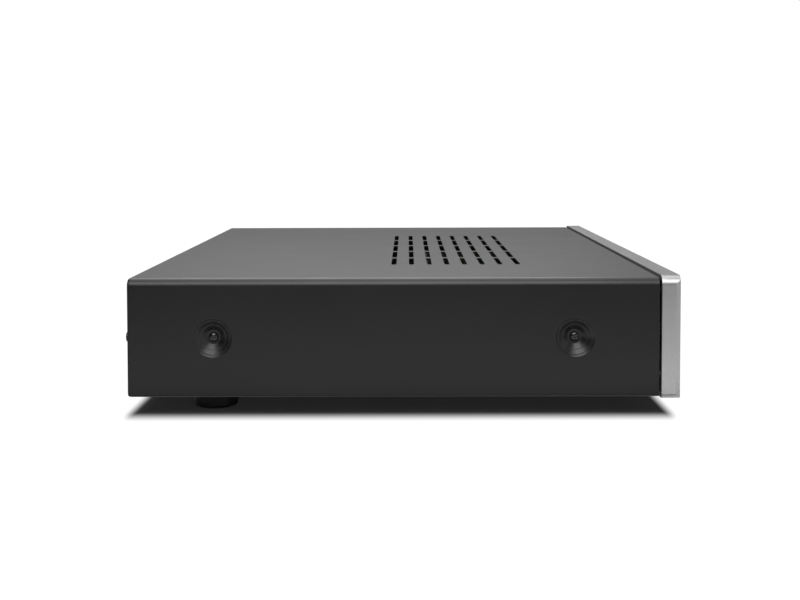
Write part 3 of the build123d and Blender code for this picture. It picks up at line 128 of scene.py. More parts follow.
def ramp(tree, value, start, end, low=0.0, high=1.0, **settings):
    """A level that goes from low to high while the value goes from start to end."""
    inputs = {"Value": value, "From Min": start, "From Max": end, "To Min": low, "To Max": high}
    return put(tree, "MapRange", inputs, **settings).outputs[0]


def maths(tree, operation, first, second=0.0):
    """The result of one operation on two values, or on the first alone."""
    return put(tree, "Math", {0: first, 1: second}, operation=operation).outputs[0]


def vectors(tree, operation, first, second=(0, 0, 0)):
    """The result of one operation on two vectors, or on the first alone."""
    node = put(tree, "VectorMath", {0: first, 1: second}, operation=operation)
    return node.outputs["Value" if operation == "LENGTH" else "Vector"]


def parts(tree, vector):
    """The three parts of a vector."""
    return put(tree, "SeparateXYZ", {"Vector": vector}).outputs


def area_light(name, place, aim, width, depth, watts):
    """A rectangular light at a place, turned towards what it aims at."""
    light = bpy.data.lights.new(name, "AREA")
    light.shape = "RECTANGLE"
    light.size, light.size_y = width, depth
    light.energy = watts
    lamp = bpy.data.objects.new(name, light)
    bpy.context.scene.collection.objects.link(lamp)
    lamp.matrix_world = (
        Matrix.Translation(place)
        @ (Vector(place) - Vector(aim)).to_track_quat("Z", "Y").to_matrix().to_4x4()
    )


for light in LIGHTS:
    area_light(*light)

# The sky is white to the camera. In reflections it is dim, and dimmer behind the camera
world = bpy.data.worlds.new("studio")
bpy.context.scene.world = world
world.use_nodes = True
tree = world.node_tree
tree.nodes.clear()
ray = put(tree, "LightPath")
direction = put(tree, "TexCoord").outputs["Generated"]
upward = ramp(tree, parts(tree, direction)["Z"], 0.0, SKY_RISE, SKY_LOW, SKY_HIGH)
behind = ramp(tree, parts(tree, direction)["X"], SKY_DIMS_FROM, SKY_DIMS_TO, SKY_BEHIND_CAMERA)
mirrored = maths(tree, "MULTIPLY", upward, behind)
glossy = mixed(tree, ray.outputs["Is Glossy Ray"], grey(SKY_FILL), mirrored)
seen = maths(tree, "MAXIMUM", ray.outputs["Is Camera Ray"], ray.outputs["Is Transmission Ray"])
sky = put(tree, "Background", {"Color": mixed(tree, seen, glossy, grey(1.0))})
tree.links.new(sky.outputs[0], put(tree, "OutputWorld").inputs["Surface"])

# The floor glows white to the camera but for a painted shadow: its glow is turned down over a
# soft rectangle under the body, and only a faint real shadow shows in its dim own shading. To the
# lights it is a pale table that ends round the body, with a dark strip along each side
FLOOR_SIZE = 24
FLOOR_GLOW, PAINTED_SHADOW_GLOW = 1.0, 0.012
FLOOR_SHOWS = 0.04
PAINTED_SHADOW_MIDDLE = (0, -0.0005, 0)
PAINTED_SHADOW_HALF = (0.200, 0.1645)
PAINTED_SHADOW_FADE = (0.028, 0.0089)
TABLE_REFLECTS, STRIP_REFLECTS, BEYOND_REFLECTS = 0.88, 0.06, 0.12
TABLE_EDGE = (0.28, 0.80)
STRIP_MIDDLE = 0.236
STRIP_EDGE = (0.008, 0.017)

floor_surface = bpy.data.materials.new("floor")
floor_surface.use_nodes = True
tree = floor_surface.node_tree
tree.nodes.clear()
ray = put(tree, "LightPath")
place = put(tree, "TexCoord").outputs["Object"]
# The painted shadow: over a soft rectangle under the body the camera's glow falls to a dark level
apart = parts(tree, vectors(tree, "ABSOLUTE", vectors(tree, "SUBTRACT", place, PAINTED_SHADOW_MIDDLE)))
past = {
    axis: ramp(tree, apart[axis], half, half + fade)
    for axis, half, fade in zip("XY", PAINTED_SHADOW_HALF, PAINTED_SHADOW_FADE)
}
past = vectors(tree, "LENGTH", put(tree, "CombineXYZ", past).outputs[0])
outside_painted_shadow = ramp(tree, past, 0.0, 1.0, interpolation_type="SMOOTHSTEP")
glow = ramp(tree, outside_painted_shadow, 0.0, 1.0, PAINTED_SHADOW_GLOW, FLOOR_GLOW)
glow = maths(tree, "MULTIPLY", glow, ray.outputs["Is Camera Ray"])
outwards = ramp(tree, vectors(tree, "LENGTH", place), *TABLE_EDGE)
card = mixed(tree, outwards, grey(TABLE_REFLECTS), grey(BEYOND_REFLECTS))
beside = maths(tree, "ABSOLUTE", maths(tree, "SUBTRACT", apart["X"], STRIP_MIDDLE))
card = mixed(tree, ramp(tree, beside, *STRIP_EDGE), grey(STRIP_REFLECTS), card)
card = mixed(tree, ray.outputs["Is Camera Ray"], card, grey(FLOOR_SHOWS))
matt = put(tree, "BsdfDiffuse", {"Color": card}).outputs[0]
lit = put(tree, "Emission", {"Strength": glow}).outputs[0]
both = put(tree, "AddShader", {0: matt, 1: lit}).outputs[0]
tree.links.new(both, put(tree, "OutputMaterial").inputs["Surface"])

floor_shape = bmesh.new()
bmesh.ops.create_grid(floor_shape, x_segments=1, y_segments=1, size=FLOOR_SIZE / 2)
floor_mesh = bpy.data.meshes.new("floor")
floor_shape.to_mesh(floor_mesh)
floor_shape.free()
floor_mesh.materials.append(floor_surface)
floor = bpy.data.objects.new("floor", floor_mesh)
bpy.context.scene.collection.objects.link(floor)


# Base pan, front bracket and plated hardware: folded steel sheet and turned steel with bright
# zinc, and black zinc on the bracket, kept near black so that it also paints shade into the gap
# between the front panel and the cover. The pan carries the boards, the transformer and the feet,
# and the bracket holds the front panel to it.


def new_group(name, inputs, outputs):
    """An empty shader node group with these named sockets, and its input and output nodes."""
    group = bpy.data.node_groups.new(name, "ShaderNodeTree")
    for label, kind, value in inputs:
        group.interface.new_socket(label, in_out="INPUT", socket_type=kind).default_value = value
    for label in outputs:
        group.interface.new_socket(label, in_out="OUTPUT", socket_type="NodeSocketFloat")
    return group, group.nodes.new("NodeGroupInput"), group.nodes.new("NodeGroupOutput")


# Fine relief and broad soft patches, both stretched along an axis where the finish has a grain
PATCH_EDGE = (0.3, 0.7)
surface_grain, taken, given = new_group(
    "Surface Grain",
    (
        ("Fineness", "NodeSocketFloat", 1500),
        ("Patch Fineness", "NodeSocketFloat", 30),
        ("Stretch", "NodeSocketVector", (1, 1, 1)),
    ),
    ("Height", "Patches"),
)
place = put(surface_grain, "TexCoord").outputs["Object"]
place = vectors(surface_grain, "MULTIPLY", place, taken.outputs["Stretch"])
fine, broad = (
    put(surface_grain, "TexNoise", {"Vector": place, "Scale": taken.outputs[scale], "Detail": detail})
    for scale, detail in (("Fineness", 3), ("Patch Fineness", 4))
)
patches = ramp(surface_grain, broad.outputs[0], *PATCH_EDGE)
surface_grain.links.new(fine.outputs[0], given.inputs["Height"])
surface_grain.links.new(patches, given.inputs["Patches"])


def place_group(tree, group, values):
    """A copy of a node group in a material, with its own values."""
    node = tree.nodes.new("ShaderNodeGroup")
    node.node_tree = group
    for label, value in values.items():
        node.inputs[label].default_value = value
    return node


def surface(
    name,
    colour,
    roughness,
    metallic=0.0,
    specular=0.5,
    fineness=1500,
    stretch=(1, 1, 1),
    relief=0.00001,
    patch_fineness=30,
    shade=0.12,
    rough_spread=0.06,
    **sockets,
):
    """A material with fine grain in its relief, and soft patches of shade and roughness."""
    material = bpy.data.materials.new(name)
    material.use_nodes = True
    tree = material.node_tree
    shader = tree.nodes["Principled BSDF"]
    grain = place_group(
        tree,
        surface_grain,
        {"Fineness": fineness, "Patch Fineness": patch_fineness, "Stretch": stretch},
    )
    patches = grain.outputs["Patches"]
    darker = (*[part * (1 - shade) for part in colour], 1)
    tree.links.new(mixed(tree, patches, (*colour, 1), darker), shader.inputs["Base Color"])
    rough = ramp(tree, patches, 0.0, 1.0, roughness - rough_spread, roughness + rough_spread)
    tree.links.new(rough, shader.inputs["Roughness"])
    bump = put(tree, "Bump", {"Height": grain.outputs["Height"], "Distance": relief})
    tree.links.new(bump.outputs[0], shader.inputs["Normal"])
    shader.inputs["Metallic"].default_value = metallic
    shader.inputs["Specular IOR Level"].default_value = specular
    for label, value in sockets.items():
        shader.inputs[label.replace("_", " ")].default_value = value
    return material


def dress(material, *nodes):
    """Gives pieces carried over from the frame this finish."""
    for node in nodes:
        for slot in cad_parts[node].material_slots:
            slot.material = material


zinc = surface(
    "zinc_plate", (0.56, 0.56, 0.53), 0.36, metallic=1.0, fineness=900, relief=0.000004,
    patch_fineness=90, shade=0.16, rough_spread=0.09,
)
dress(
    zinc, "base_pan", "transformer_washer", "transformer_bolt", "board_screws", "potentiometers",
    "volume_shaft", "bass_shaft", "treble_shaft",
)
# The bracket's near-black is black zinc and also painted shade in the gap between panel and cover
bracket_black_and_gap_shade = surface("black_zinc_and_gap_shade", (0.004, 0.004, 0.004), 0.6, specular=0.2, relief=0.000006)
dress(bracket_black_and_gap_shade, "front_bracket")
brass = surface("brass", (0.72, 0.55, 0.26), 0.3, metallic=1.0, fineness=1200, relief=0.000004)
dress(brass, "standoffs")


# Feet: four round feet of moulded black plastic, one near each corner. Each is screwed up into
# the base pan from below, and they hold the cover's lips clear of the desk.

foot_plastic = surface(
    "foot_plastic", (0.005, 0.005, 0.005), 0.55, specular=0.2, fineness=1800, relief=0.00002,
)
dress(foot_plastic, "feet")


# Transformer: copper wire wound on a ring core under clear yellow tape, clamped between rubber
# pads by a dished washer and one long bolt. The lap of each turn of tape shows as a ridge.


def finished(shape, name, material, body, slot, *replaced, sharp=35):
    """The bmesh as a piece that rides on a body, standing for the nodes it replaces; the slot is not
    used.
    """
    mesh = bpy.data.meshes.new(name)
    shape.to_mesh(mesh)
    shape.free()
    mesh.materials.append(material)
    mesh.shade_smooth()
    mesh.set_sharp_from_angle(angle=math.radians(sharp))
    made = bpy.data.objects.new(name, mesh)
    bpy.context.scene.collection.objects.link(made)
    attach(made, body)
    if replaced:
        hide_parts(*replaced)
    return made


BORE = 0.018
RING_ROUND = 0.010
TAPE_TURNS = 120
LAP = 0.00035
SKIN_FROM_MIDDLE = 0.02

low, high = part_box("toroidal_transformer")
ring_centre = (low + high) / 2
ring_outer = (high.x - low.x) / 2
ring_height = high.z - low.z
winding = bmesh.new()
section = bmesh.ops.create_grid(winding, x_segments=1, y_segments=1, size=0.5)["verts"]
bmesh.ops.delete(winding, geom=winding.faces[:], context="FACES_ONLY")
bmesh.ops.rotate(winding, verts=section, cent=(0, 0, 0), matrix=Matrix.Rotation(math.pi / 2, 3, "X"))
bmesh.ops.scale(winding, verts=section, vec=(ring_outer - BORE, 1, ring_height))
bmesh.ops.bevel(
    winding, geom=section[:], offset=RING_ROUND, offset_type="OFFSET", segments=6, profile=0.5,
    affect="VERTICES", material=-1, clamp_overlap=True,
)
middle = Vector(((ring_outer + BORE) / 2, 0, 0))
bmesh.ops.translate(winding, verts=winding.verts[:], vec=middle)
# The section shrinks and grows in turn on its way round, so that each lap leaves a ridge
step = math.pi / TAPE_TURNS
shrinks = 1 - LAP / SKIN_FROM_MIDDLE
first = winding.verts[:] + winding.edges[:]
loop = first
for turn in range(2 * TAPE_TURNS - 1):
    loop = bmesh.ops.spin(
        winding, geom=loop, cent=(0, 0, 0), axis=(0, 0, 1), angle=step, steps=1, use_duplicate=False,
        use_merge=False,
    )["geom_last"]
    here = [part for part in loop if isinstance(part, bmesh.types.BMVert)]
    centre = Matrix.Rotation(step * (turn + 1), 4, "Z") @ middle
    size = shrinks if turn % 2 == 0 else 1 / shrinks
    bmesh.ops.scale(winding, verts=here, vec=(size,) * 3, space=Matrix.Translation(-centre))
edges = [part for part in first + loop if isinstance(part, bmesh.types.BMEdge)]
bmesh.ops.bridge_loops(winding, edges=edges)
bmesh.ops.recalc_face_normals(winding, faces=winding.faces[:])
bmesh.ops.translate(winding, verts=winding.verts[:], vec=ring_centre)
tape = surface(
    "winding_tape", (0.62, 0.40, 0.05), 0.22, fineness=500, relief=0.00001, patch_fineness=160,
    shade=0.35, Coat_Weight=0.4, Coat_Roughness=0.15,
)
finished(winding, "transformer_winding", tape, "chassis", "winding_tape", "toroidal_transformer")

rubber = surface("pad_rubber", (0.025, 0.025, 0.025), 0.7, fineness=1200, relief=0.00002)
dress(rubber, "transformer_pads")


# Boards: green glass-fibre board with tracks under the solder mask, on brass standoffs. They
# carry the output stage, the supply capacitors, the relays and the controls.

board = surface(
    "solder_mask", (0.015, 0.13, 0.05), 0.3, fineness=900, relief=0.000006, patch_fineness=40,
    shade=0.15,
)
TRACK_FINENESS = 130
TRACK_EDGE = (0.05, 0.08)
TRACK_GREEN = (0.03, 0.22, 0.09, 1)
tree = board.node_tree
colour = tree.nodes["Principled BSDF"].inputs["Base Color"]
place = put(tree, "TexCoord").outputs["Object"]
tracks = put(
    tree, "TexVoronoi", {"Vector": place, "Scale": TRACK_FINENESS}, feature="DISTANCE_TO_EDGE",
    distance="EUCLIDEAN",
)
off_track = ramp(tree, tracks.outputs["Distance"], *TRACK_EDGE)
tree.links.new(mixed(tree, off_track, TRACK_GREEN, colour.links[0].from_socket), colour)
dress(board, "main_board", "input_board", "front_board")

anodised = surface(
    "black_anodising", (0.025, 0.025, 0.027), 0.4, metallic=0.6, fineness=900, stretch=(1, 1, 0.03),
    relief=0.000012,
)
dress(anodised, "heatsink")
sleeve = surface("capacitor_sleeve", (0.012, 0.014, 0.03), 0.28, fineness=300, relief=0.00001)
dress(sleeve, "reservoir_capacitors", "small_capacitors")
relay_case = surface("relay_case", (0.03, 0.09, 0.28), 0.3, fineness=700, relief=0.000006)
dress(relay_case, "relays")
moulding = surface(
    "black_moulding", (0.022, 0.022, 0.023), 0.42, specular=0.4, fineness=2200, relief=0.000012,
)
dress(
    moulding, "bridge_rectifier", "button_switches", "power_transistors", "headphone_jack",
    "mains_inlet", "phono_blocks", "post_bases", "rocker_frame",
)


# Wiring: a flat ribbon cable from the front board to the input board, and single insulated
# wires from the inlet through the rocker to the transformer, and from it to the main board.

WIRE = 0.0022


def insulation(name, colour):
    """Soft coloured plastic round a wire."""
    return surface(name, colour, 0.45, fineness=800, relief=0.00001, patch_fineness=60, shade=0.1)


def route(name, points):
    """The line that a cord follows: one open spline with these points to guide it."""
    line = bpy.data.curves.new(name, "CURVE")
    line.dimensions = "3D"
    spline = line.splines.new("NURBS")
    spline.points.add(len(points) - 1)
    for point, place in zip(spline.points, points):
        point.co = (*place, 1)
    spline.order_u = 3
    spline.use_endpoint_u = True
    spline.resolution_u = 12
    return line


def wire(name, points, material, replaced):
    """One insulated wire that lies along a route, soldered or plugged at both ends."""
    line = route(name, points)
    line.bevel_depth = WIRE / 2
    line.bevel_resolution = 5
    line.use_fill_caps = True
    line.materials.append(material)
    made = bpy.data.objects.new(name, line)
    bpy.context.scene.collection.objects.link(made)
    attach(made, "chassis")
    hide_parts(replaced)


brown = insulation("brown_insulation", (0.13, 0.05, 0.02))
blue = insulation("blue_insulation", (0.03, 0.10, 0.35))
red = insulation("red_insulation", (0.45, 0.02, 0.02))
black = insulation("black_insulation", (0.02, 0.02, 0.02))

wire(
    "live_wire_to_rocker",
    (
        (-0.182, 0.1418, 0.04735), (-0.182, 0.1268, 0.04735), (-0.182, 0.1268, 0.05435),
        (-0.140, 0.1268, 0.05435), (-0.140, 0.1448, 0.05435),
    ),
    material=brown, replaced="mains_wires",
)
wire(
    "live_wire_to_transformer",
    (
        (-0.140, 0.1448, 0.04435), (-0.140, 0.1068, 0.04435), (-0.140, 0.1068, 0.0189),
        (-0.140, 0.009893, 0.0189), (-0.140, 0.009893, 0.0385), (-0.140, -0.005107, 0.0385),
    ),
    material=brown, replaced="mains_wires",
)
wire(
    "neutral_wire_to_transformer",
    (
        (-0.168, 0.1418, 0.04735), (-0.168, 0.1068, 0.04735), (-0.168, 0.1068, 0.0189),
        (-0.168, 0.001695, 0.0189), (-0.168, 0.001695, 0.0385), (-0.168, -0.013305, 0.0385),
    ),
    material=blue, replaced="mains_wires",
)
LEAD_END = -0.060
LEAD_HIGH, LEAD_LOW = 0.0385, 0.0281
for name, y, start, colour in (
    ("lead_1", -0.0674, -0.083017, red),
    ("lead_2", -0.0604, -0.0827, black),
    ("lead_3", -0.0534, -0.083017, red),
):
    middle = (start + LEAD_END) / 2
    wire(
        f"transformer_{name}",
        ((start, y, LEAD_HIGH), (middle, y, LEAD_HIGH), (middle, y, LEAD_LOW), (LEAD_END, y, LEAD_LOW)),
        material=colour, replaced="transformer_leads",
    )

# The cable is a row of thin cores, drawn out along the line that its route gives
RIBBON_X = 0.180
RIBBON_WIDTH, RIBBON_THICK = 0.016, 0.0008
CORES, CORE_SIDES = 16, 8
ribbon_points = (
    (RIBBON_X, -0.1448, 0.036), (RIBBON_X, -0.1336, 0.036), (RIBBON_X, -0.1224, 0.0248),
    (RIBBON_X, 0.1226, 0.0248), (RIBBON_X, 0.1338, 0.036), (RIBBON_X, 0.145, 0.036),
)
guide = bpy.data.objects.new("ribbon_route", route("ribbon_route", ribbon_points))
followed = bpy.data.meshes.new_from_object(guide)
ribbon_path = [vertex.co.copy() for vertex in followed.vertices]
bpy.data.objects.remove(guide)
bpy.data.meshes.remove(followed)

ribbon = bmesh.new()
core = RIBBON_WIDTH / CORES
half_side = math.pi / CORE_SIDES
section = []
for index in range(CORES):
    section += bmesh.ops.create_circle(
        ribbon, cap_ends=False, segments=CORE_SIDES, radius=core / 2 / math.cos(half_side),
        matrix=Matrix.Translation((RIBBON_X - RIBBON_WIDTH / 2 + core * (index + 0.5), 0, 0))
        @ Matrix.Rotation(math.pi / 2, 4, "X")
        @ Matrix.Rotation(half_side, 4, "Z"),
    )["verts"]
bmesh.ops.scale(ribbon, verts=section, vec=(1, 1, RIBBON_THICK / core))
start_edges = ribbon.edges[:]
edges = start_edges
direction = Vector((0, 1, 0))
bmesh.ops.translate(ribbon, verts=section, vec=(0, ribbon_path[0].y, ribbon_path[0].z))
for index, here in enumerate(ribbon_path[1:], 1):
    ahead = ribbon_path[min(index + 1, len(ribbon_path) - 1)] - ribbon_path[index - 1]
    tilt = direction.rotation_difference(ahead.normalized()).to_matrix()
    direction = ahead.normalized()
    grown = bmesh.ops.extrude_edge_only(ribbon, edges=edges)["geom"]
    edges = [part for part in grown if isinstance(part, bmesh.types.BMEdge)]
    verts = [part for part in grown if isinstance(part, bmesh.types.BMVert)]
    bmesh.ops.translate(ribbon, verts=verts, vec=here - ribbon_path[index - 1])
    bmesh.ops.rotate(ribbon, verts=verts, cent=here, matrix=tilt)
bmesh.ops.holes_fill(ribbon, edges=start_edges + edges, sides=CORE_SIDES)
bmesh.ops.recalc_face_normals(ribbon, faces=ribbon.faces[:])
grey_sheath = insulation("ribbon_insulation", (0.38, 0.38, 0.38))
ribbon_piece = finished(ribbon, "ribbon", grey_sheath, "chassis", "cable_grey", "ribbon_cable", sharp=60)


# Rear panel and its sockets: painted steel with a mains inlet, a rocker, binding posts and
# phono sockets, each a turned or moulded piece fixed through the panel.

paint = surface(
    "powder_coat", (0.0022, 0.0022, 0.0023), 0.40, specular=0.42, fineness=2400, relief=0.000010,
    patch_fineness=14, shade=0.10, rough_spread=0.03,
)
dress(paint, "rear_panel", "top_cover")
screw_black = surface(
    "black_zinc", (0.004, 0.004, 0.004), 0.17, specular=0.6, fineness=1500, relief=0.000004,
    rough_spread=0.04,
)
dress(screw_black, "cover_screws", "chassis_screws")
nickel = surface("nickel", (0.72, 0.70, 0.66), 0.2, metallic=1.0, fineness=1500, relief=0.000003)
dress(nickel, "inlet_pins", "phono_shells")
gold = surface("gold_plate", (0.83, 0.62, 0.25), 0.2, metallic=1.0, fineness=1500, relief=0.000003)
dress(gold, "post_studs", "post_collar_1", "post_collar_2", "post_collar_3", "post_collar_4")
white_ring = surface("white_moulding", (0.75, 0.75, 0.73), 0.3, fineness=900, relief=0.000005, shade=0.05)
dress(white_ring, "phono_rings_white")
red_cap = surface("red_moulding", (0.50, 0.015, 0.015), 0.28, fineness=900, relief=0.000005)
dress(red_cap, "phono_rings_red", "post_cap_1", "post_cap_3")
black_gloss = surface("black_gloss", (0.014, 0.014, 0.014), 0.22, fineness=900, relief=0.000004)
dress(black_gloss, "post_cap_2", "post_cap_4", "rocker")


# Top cover: one sheet of 1.2 mm steel folded down both sides and round the back, with a field
# of punched slots on top and two pressed, stepped dishes in each side, powder-coated satin.

SHEET = 0.0012
BEND, FOLD = 0.005, 0.0015
BEND_STEPS, FOLD_STEPS = 8, 4
LIP, FLANGE = 0.0055, 0.012
LIP_END = 0.1643
FLANGE_END = 0.0149
RELIEF_HOLE = 0.0013
DISH_Z = 0.0492
DISH_YS = (-0.1087, 0.1144)
SLOT_LONG, SLOT_WIDE, SLOT_SIDES = 0.043, 0.0035, 24
SLOT_XS = [-0.112 + 0.0495 * index for index in range(5)]
SLOT_YS = [0.0036 - 0.0121 * index for index in range(8)]
# Each pair is how wide and how deep a dish is there, from its rim to the hole for the screw
DISH_STEPS = (
    (0.0124, 0), (0.0120, 0), (0.0110, 0.0009), (0.0105, 0.0009), (0.0080, 0.0027), (0.0075, 0.0028),
    (0.0046, 0.0049), (0.0041, 0.0050), (0.00205, 0.0050),
)
DISH_SOFT, DISH_SIDES = 0.00025, 96
CORNER, CORNER_CUTS = 0.002, (0.6, 0.3)
PUNCHED_EDGE = 0.00015
# A face is square to an axis over this share of its normal, and what is this near is touching
STRAIGHT = 0.9999
CLOSE = 0.000001


def softened(points, reach):
    """An outline whose corners are swapped for short curves that start and end this far off."""
    outline = [Vector(points[0])]
    for before, corner, after in zip(points, points[1:], points[2:]):
        corner = Vector(corner)
        start = corner + (Vector(before) - corner).normalized() * reach
        end = corner + (Vector(after) - corner).normalized() * reach
        outline += [start, start / 4 + corner / 2 + end / 4, end]
    return outline + [Vector(points[-1])]


def along_y(edge):
    """Whether an edge runs from front to rear."""
    run = edge.verts[0].co - edge.verts[1].co
    return abs(run.x) + abs(run.z) < CLOSE


def rounded(shape, edges, radius, segments):
    """Rounds edges of a shape."""
    bmesh.ops.bevel(
        shape, geom=edges, offset=radius, offset_type="OFFSET", segments=segments, profile=0.5,
        affect="EDGES", material=-1, clamp_overlap=False,
    )


def block(middle, size):
    """A box of this size about a point."""
    shape = bmesh.new()
    place = Matrix.Translation(middle) @ Matrix.Diagonal((*size, 1))
    bmesh.ops.create_cube(shape, size=1, matrix=place)
    return shape


low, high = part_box("top_cover")
middle = (low + high) / 2
cover = block(middle, high - low)
upper = [edge for edge in cover.edges if along_y(edge) and edge.verts[0].co.z > middle.z]
rounded(cover, upper, BEND, BEND_STEPS)
lower = [edge for edge in cover.edges if along_y(edge) and edge.verts[0].co.z < low.z + CLOSE]
rounded(cover, lower, FOLD, FOLD_STEPS)
front = [face for face in cover.faces if face.normal.y < -STRAIGHT]
bmesh.ops.delete(cover, geom=front, context="FACES_ONLY")
back = next(face for face in cover.faces if face.normal.y > STRAIGHT)
back_edges = [
    edge
    for edge in back.edges
    if (edge.verts[0].co.z + edge.verts[1].co.z) / 2 > low.z + FOLD + CLOSE
]
rounded(cover, back_edges, FOLD, FOLD_STEPS)
# The faces are cut where the lips, the flange and the round corner end
cuts = [(1, LIP_END)]
cuts += [(1, high.y - part * CORNER) for part in CORNER_CUTS]
cuts += [(2, FLANGE_END), (2, high.z - FLANGE)]
cuts += [(0, side * (high.x - inset)) for inset in (FLANGE, LIP) for side in (1, -1)]
for axis, level in cuts:
    place, across = Vector(), Vector()
    place[axis] = level
    across[axis] = 1
    everything = cover.verts[:] + cover.edges[:] + cover.faces[:]
    bmesh.ops.bisect_plane(cover, geom=everything, dist=CLOSE, plane_co=place, plane_no=across)
# Out go the rear within its flange, the underside within its lips, the relief holes in the
# upper rear corners, and the top and the sides, which come back with their slots and dishes
gone = []
for face in cover.faces:
    at, out = face.calc_center_median(), face.normal
    window = abs(at.x) < high.x - FLANGE and at.z < high.z - FLANGE
    hole = Vector((abs(at.x) - high.x + RELIEF_HOLE, at.z - high.z + RELIEF_HOLE))
    if (
        (out.y > STRAIGHT and (at.z < FLANGE_END or window))
        or (out.z < -STRAIGHT and (at.y > LIP_END or abs(at.x) < high.x - LIP))
        or max(out.z, abs(out.x)) > STRAIGHT
        or (at.y > high.y - SHEET and hole.length < RELIEF_HOLE)
    ):
        gone.append(face)
bmesh.ops.delete(cover, geom=gone, context="FACES")


def nearest(shape, point):
    """The vertex nearest to a point."""
    return min(shape.verts, key=lambda vertex: (vertex.co - Vector(point)).length)


def joined(shape, start, end):
    """An edge between the vertices nearest to two points."""
    pair = (nearest(shape, start), nearest(shape, end))
    return shape.edges.get(pair) or shape.edges.new(pair)


# The front edge of the top and of the sides went with their faces, so it is drawn again
joined(cover, (low.x + BEND, low.y, high.z), (high.x - BEND, low.y, high.z))
for x in (low.x, high.x):
    joined(cover, (x, low.y, low.z + FOLD), (x, low.y, high.z - BEND))

# The outlines of the slots and of the dishes' rims lie in the open top and sides
for x in SLOT_XS:
    for y in SLOT_YS:
        ends = bmesh.ops.create_circle(
            cover, cap_ends=False, segments=SLOT_SIDES, radius=SLOT_WIDE / 2,
            matrix=Matrix.Translation((x, y, high.z)) @ Matrix.Rotation(math.pi / SLOT_SIDES, 4, "Z"),
        )["verts"]
        for vertex in ends:
            vertex.co.x += math.copysign((SLOT_LONG - SLOT_WIDE) / 2, vertex.co.x - x)
dish_rings = softened(DISH_STEPS, DISH_SOFT)
dishes = []
for side in (-1, 1):
    for y in DISH_YS:
        rim = bmesh.ops.create_circle(
            cover, cap_ends=False, segments=DISH_SIDES, radius=dish_rings[0].x,
            matrix=Matrix.Translation((side * high.x, y, DISH_Z)) @ Matrix.Rotation(math.pi / 2, 4, "Y"),
        )["verts"]
        dishes.append((side, y, list({edge for vertex in rim for edge in vertex.link_edges})))


def flat_edges(shape, axis, level):
    """The edges in one plane that still lack a face on one side."""
    return [
        edge
        for edge in shape.edges
        if len(edge.link_faces) < 2 and all(abs(vertex.co[axis] - level) < CLOSE for vertex in edge.verts)
    ]


# The top and the sides are filled in round those outlines, and the dishes are pressed inwards
for axis, level in ((2, high.z), (0, low.x), (0, high.x)):
    outward = Vector((0, 0, 0))
    outward[axis] = math.copysign(1, level)
    edges = flat_edges(cover, axis, level)
    bmesh.ops.triangle_fill(cover, use_beauty=True, use_dissolve=False, edges=edges, normal=outward)
for side, y, edges in dishes:
    for (wide, shallow), (narrow, deep) in zip(dish_rings, dish_rings[1:]):
        grown = bmesh.ops.extrude_edge_only(cover, edges=edges)["geom"]
        edges = [part for part in grown if isinstance(part, bmesh.types.BMEdge)]
        verts = [part for part in grown if isinstance(part, bmesh.types.BMVert)]
        centre = Vector((side * (high.x - shallow), y, DISH_Z))
        ratio = narrow / wide
        bmesh.ops.scale(cover, verts=verts, vec=(1, ratio, ratio), space=Matrix.Translation(-centre))
        bmesh.ops.translate(cover, verts=verts, vec=(side * (shallow - deep), 0, 0))
bmesh.ops.remove_doubles(cover, verts=cover.verts[:], dist=CLOSE)
# The sheet is cut round at its lower rear corners
middle = Vector((high.y - CORNER, low.z + CORNER))
for vertex in cover.verts:
    out = vertex.co.yz - middle
    if out.x > 0 > out.y and out.length > CORNER:
        vertex.co.yz = middle + out.normalized() * CORNER
bmesh.ops.recalc_face_normals(cover, faces=cover.faces[:])
top_face = max(cover.faces, key=lambda face: face.calc_center_median().z)
if top_face.normal.z < 0:
    bmesh.ops.reverse_faces(cover, faces=cover.faces[:])
cover_piece = finished(cover, "folded_cover", paint, "chassis", "cover_paint", "top_cover", sharp=50)
wall = cover_piece.modifiers.new("sheet", "SOLIDIFY")
wall.thickness = SHEET
wall.offset = -1
wall.use_even_offset = True
edge_round = cover_piece.modifiers.new("punched_edges", "BEVEL")
edge_round.width = PUNCHED_EDGE
edge_round.segments = 2
edge_round.limit_method = "ANGLE"
edge_round.angle_limit = math.radians(55)
edge_round.use_clamp_overlap = True
even = cover_piece.modifiers.new("even_shading", "WEIGHTED_NORMAL")
even.keep_sharp = True


# Front panel: a deep aluminium moulding with rounded edges and a fine satin finish, screwed to
# the bracket behind it, with the lamps' guides and the remote-control window let into it.

panel = surface(
    "satin_aluminium", (0.44, 0.44, 0.44), 0.32, metallic=0.8, fineness=1600, stretch=(0.03, 1, 1),
    relief=0.000006, patch_fineness=900, shade=0.10, rough_spread=0.04, Specular_Tint=grey(0.5),
)
dress(panel, "front_panel")

# Marks round the knobs: short printed lines on an arc of 150 degrees each way from the top
dial_marks, taken, given = new_group(
    "Dial Marks",
    (
        ("Centre", "NodeSocketVector", (0, 0, 0)),
        ("Inner Radius", "NodeSocketFloat", 0.02),
        ("Outer Radius", "NodeSocketFloat", 0.03),
        ("Step", "NodeSocketFloat", 0.5),
    ),
    ("Mark",),
)


def within(tree, value, limit, soft):
    """One where a value is under a limit, falling to zero over a soft edge."""
    return ramp(tree, maths(tree, "SUBTRACT", value, limit), 0.0, soft, 1.0, 0.0)


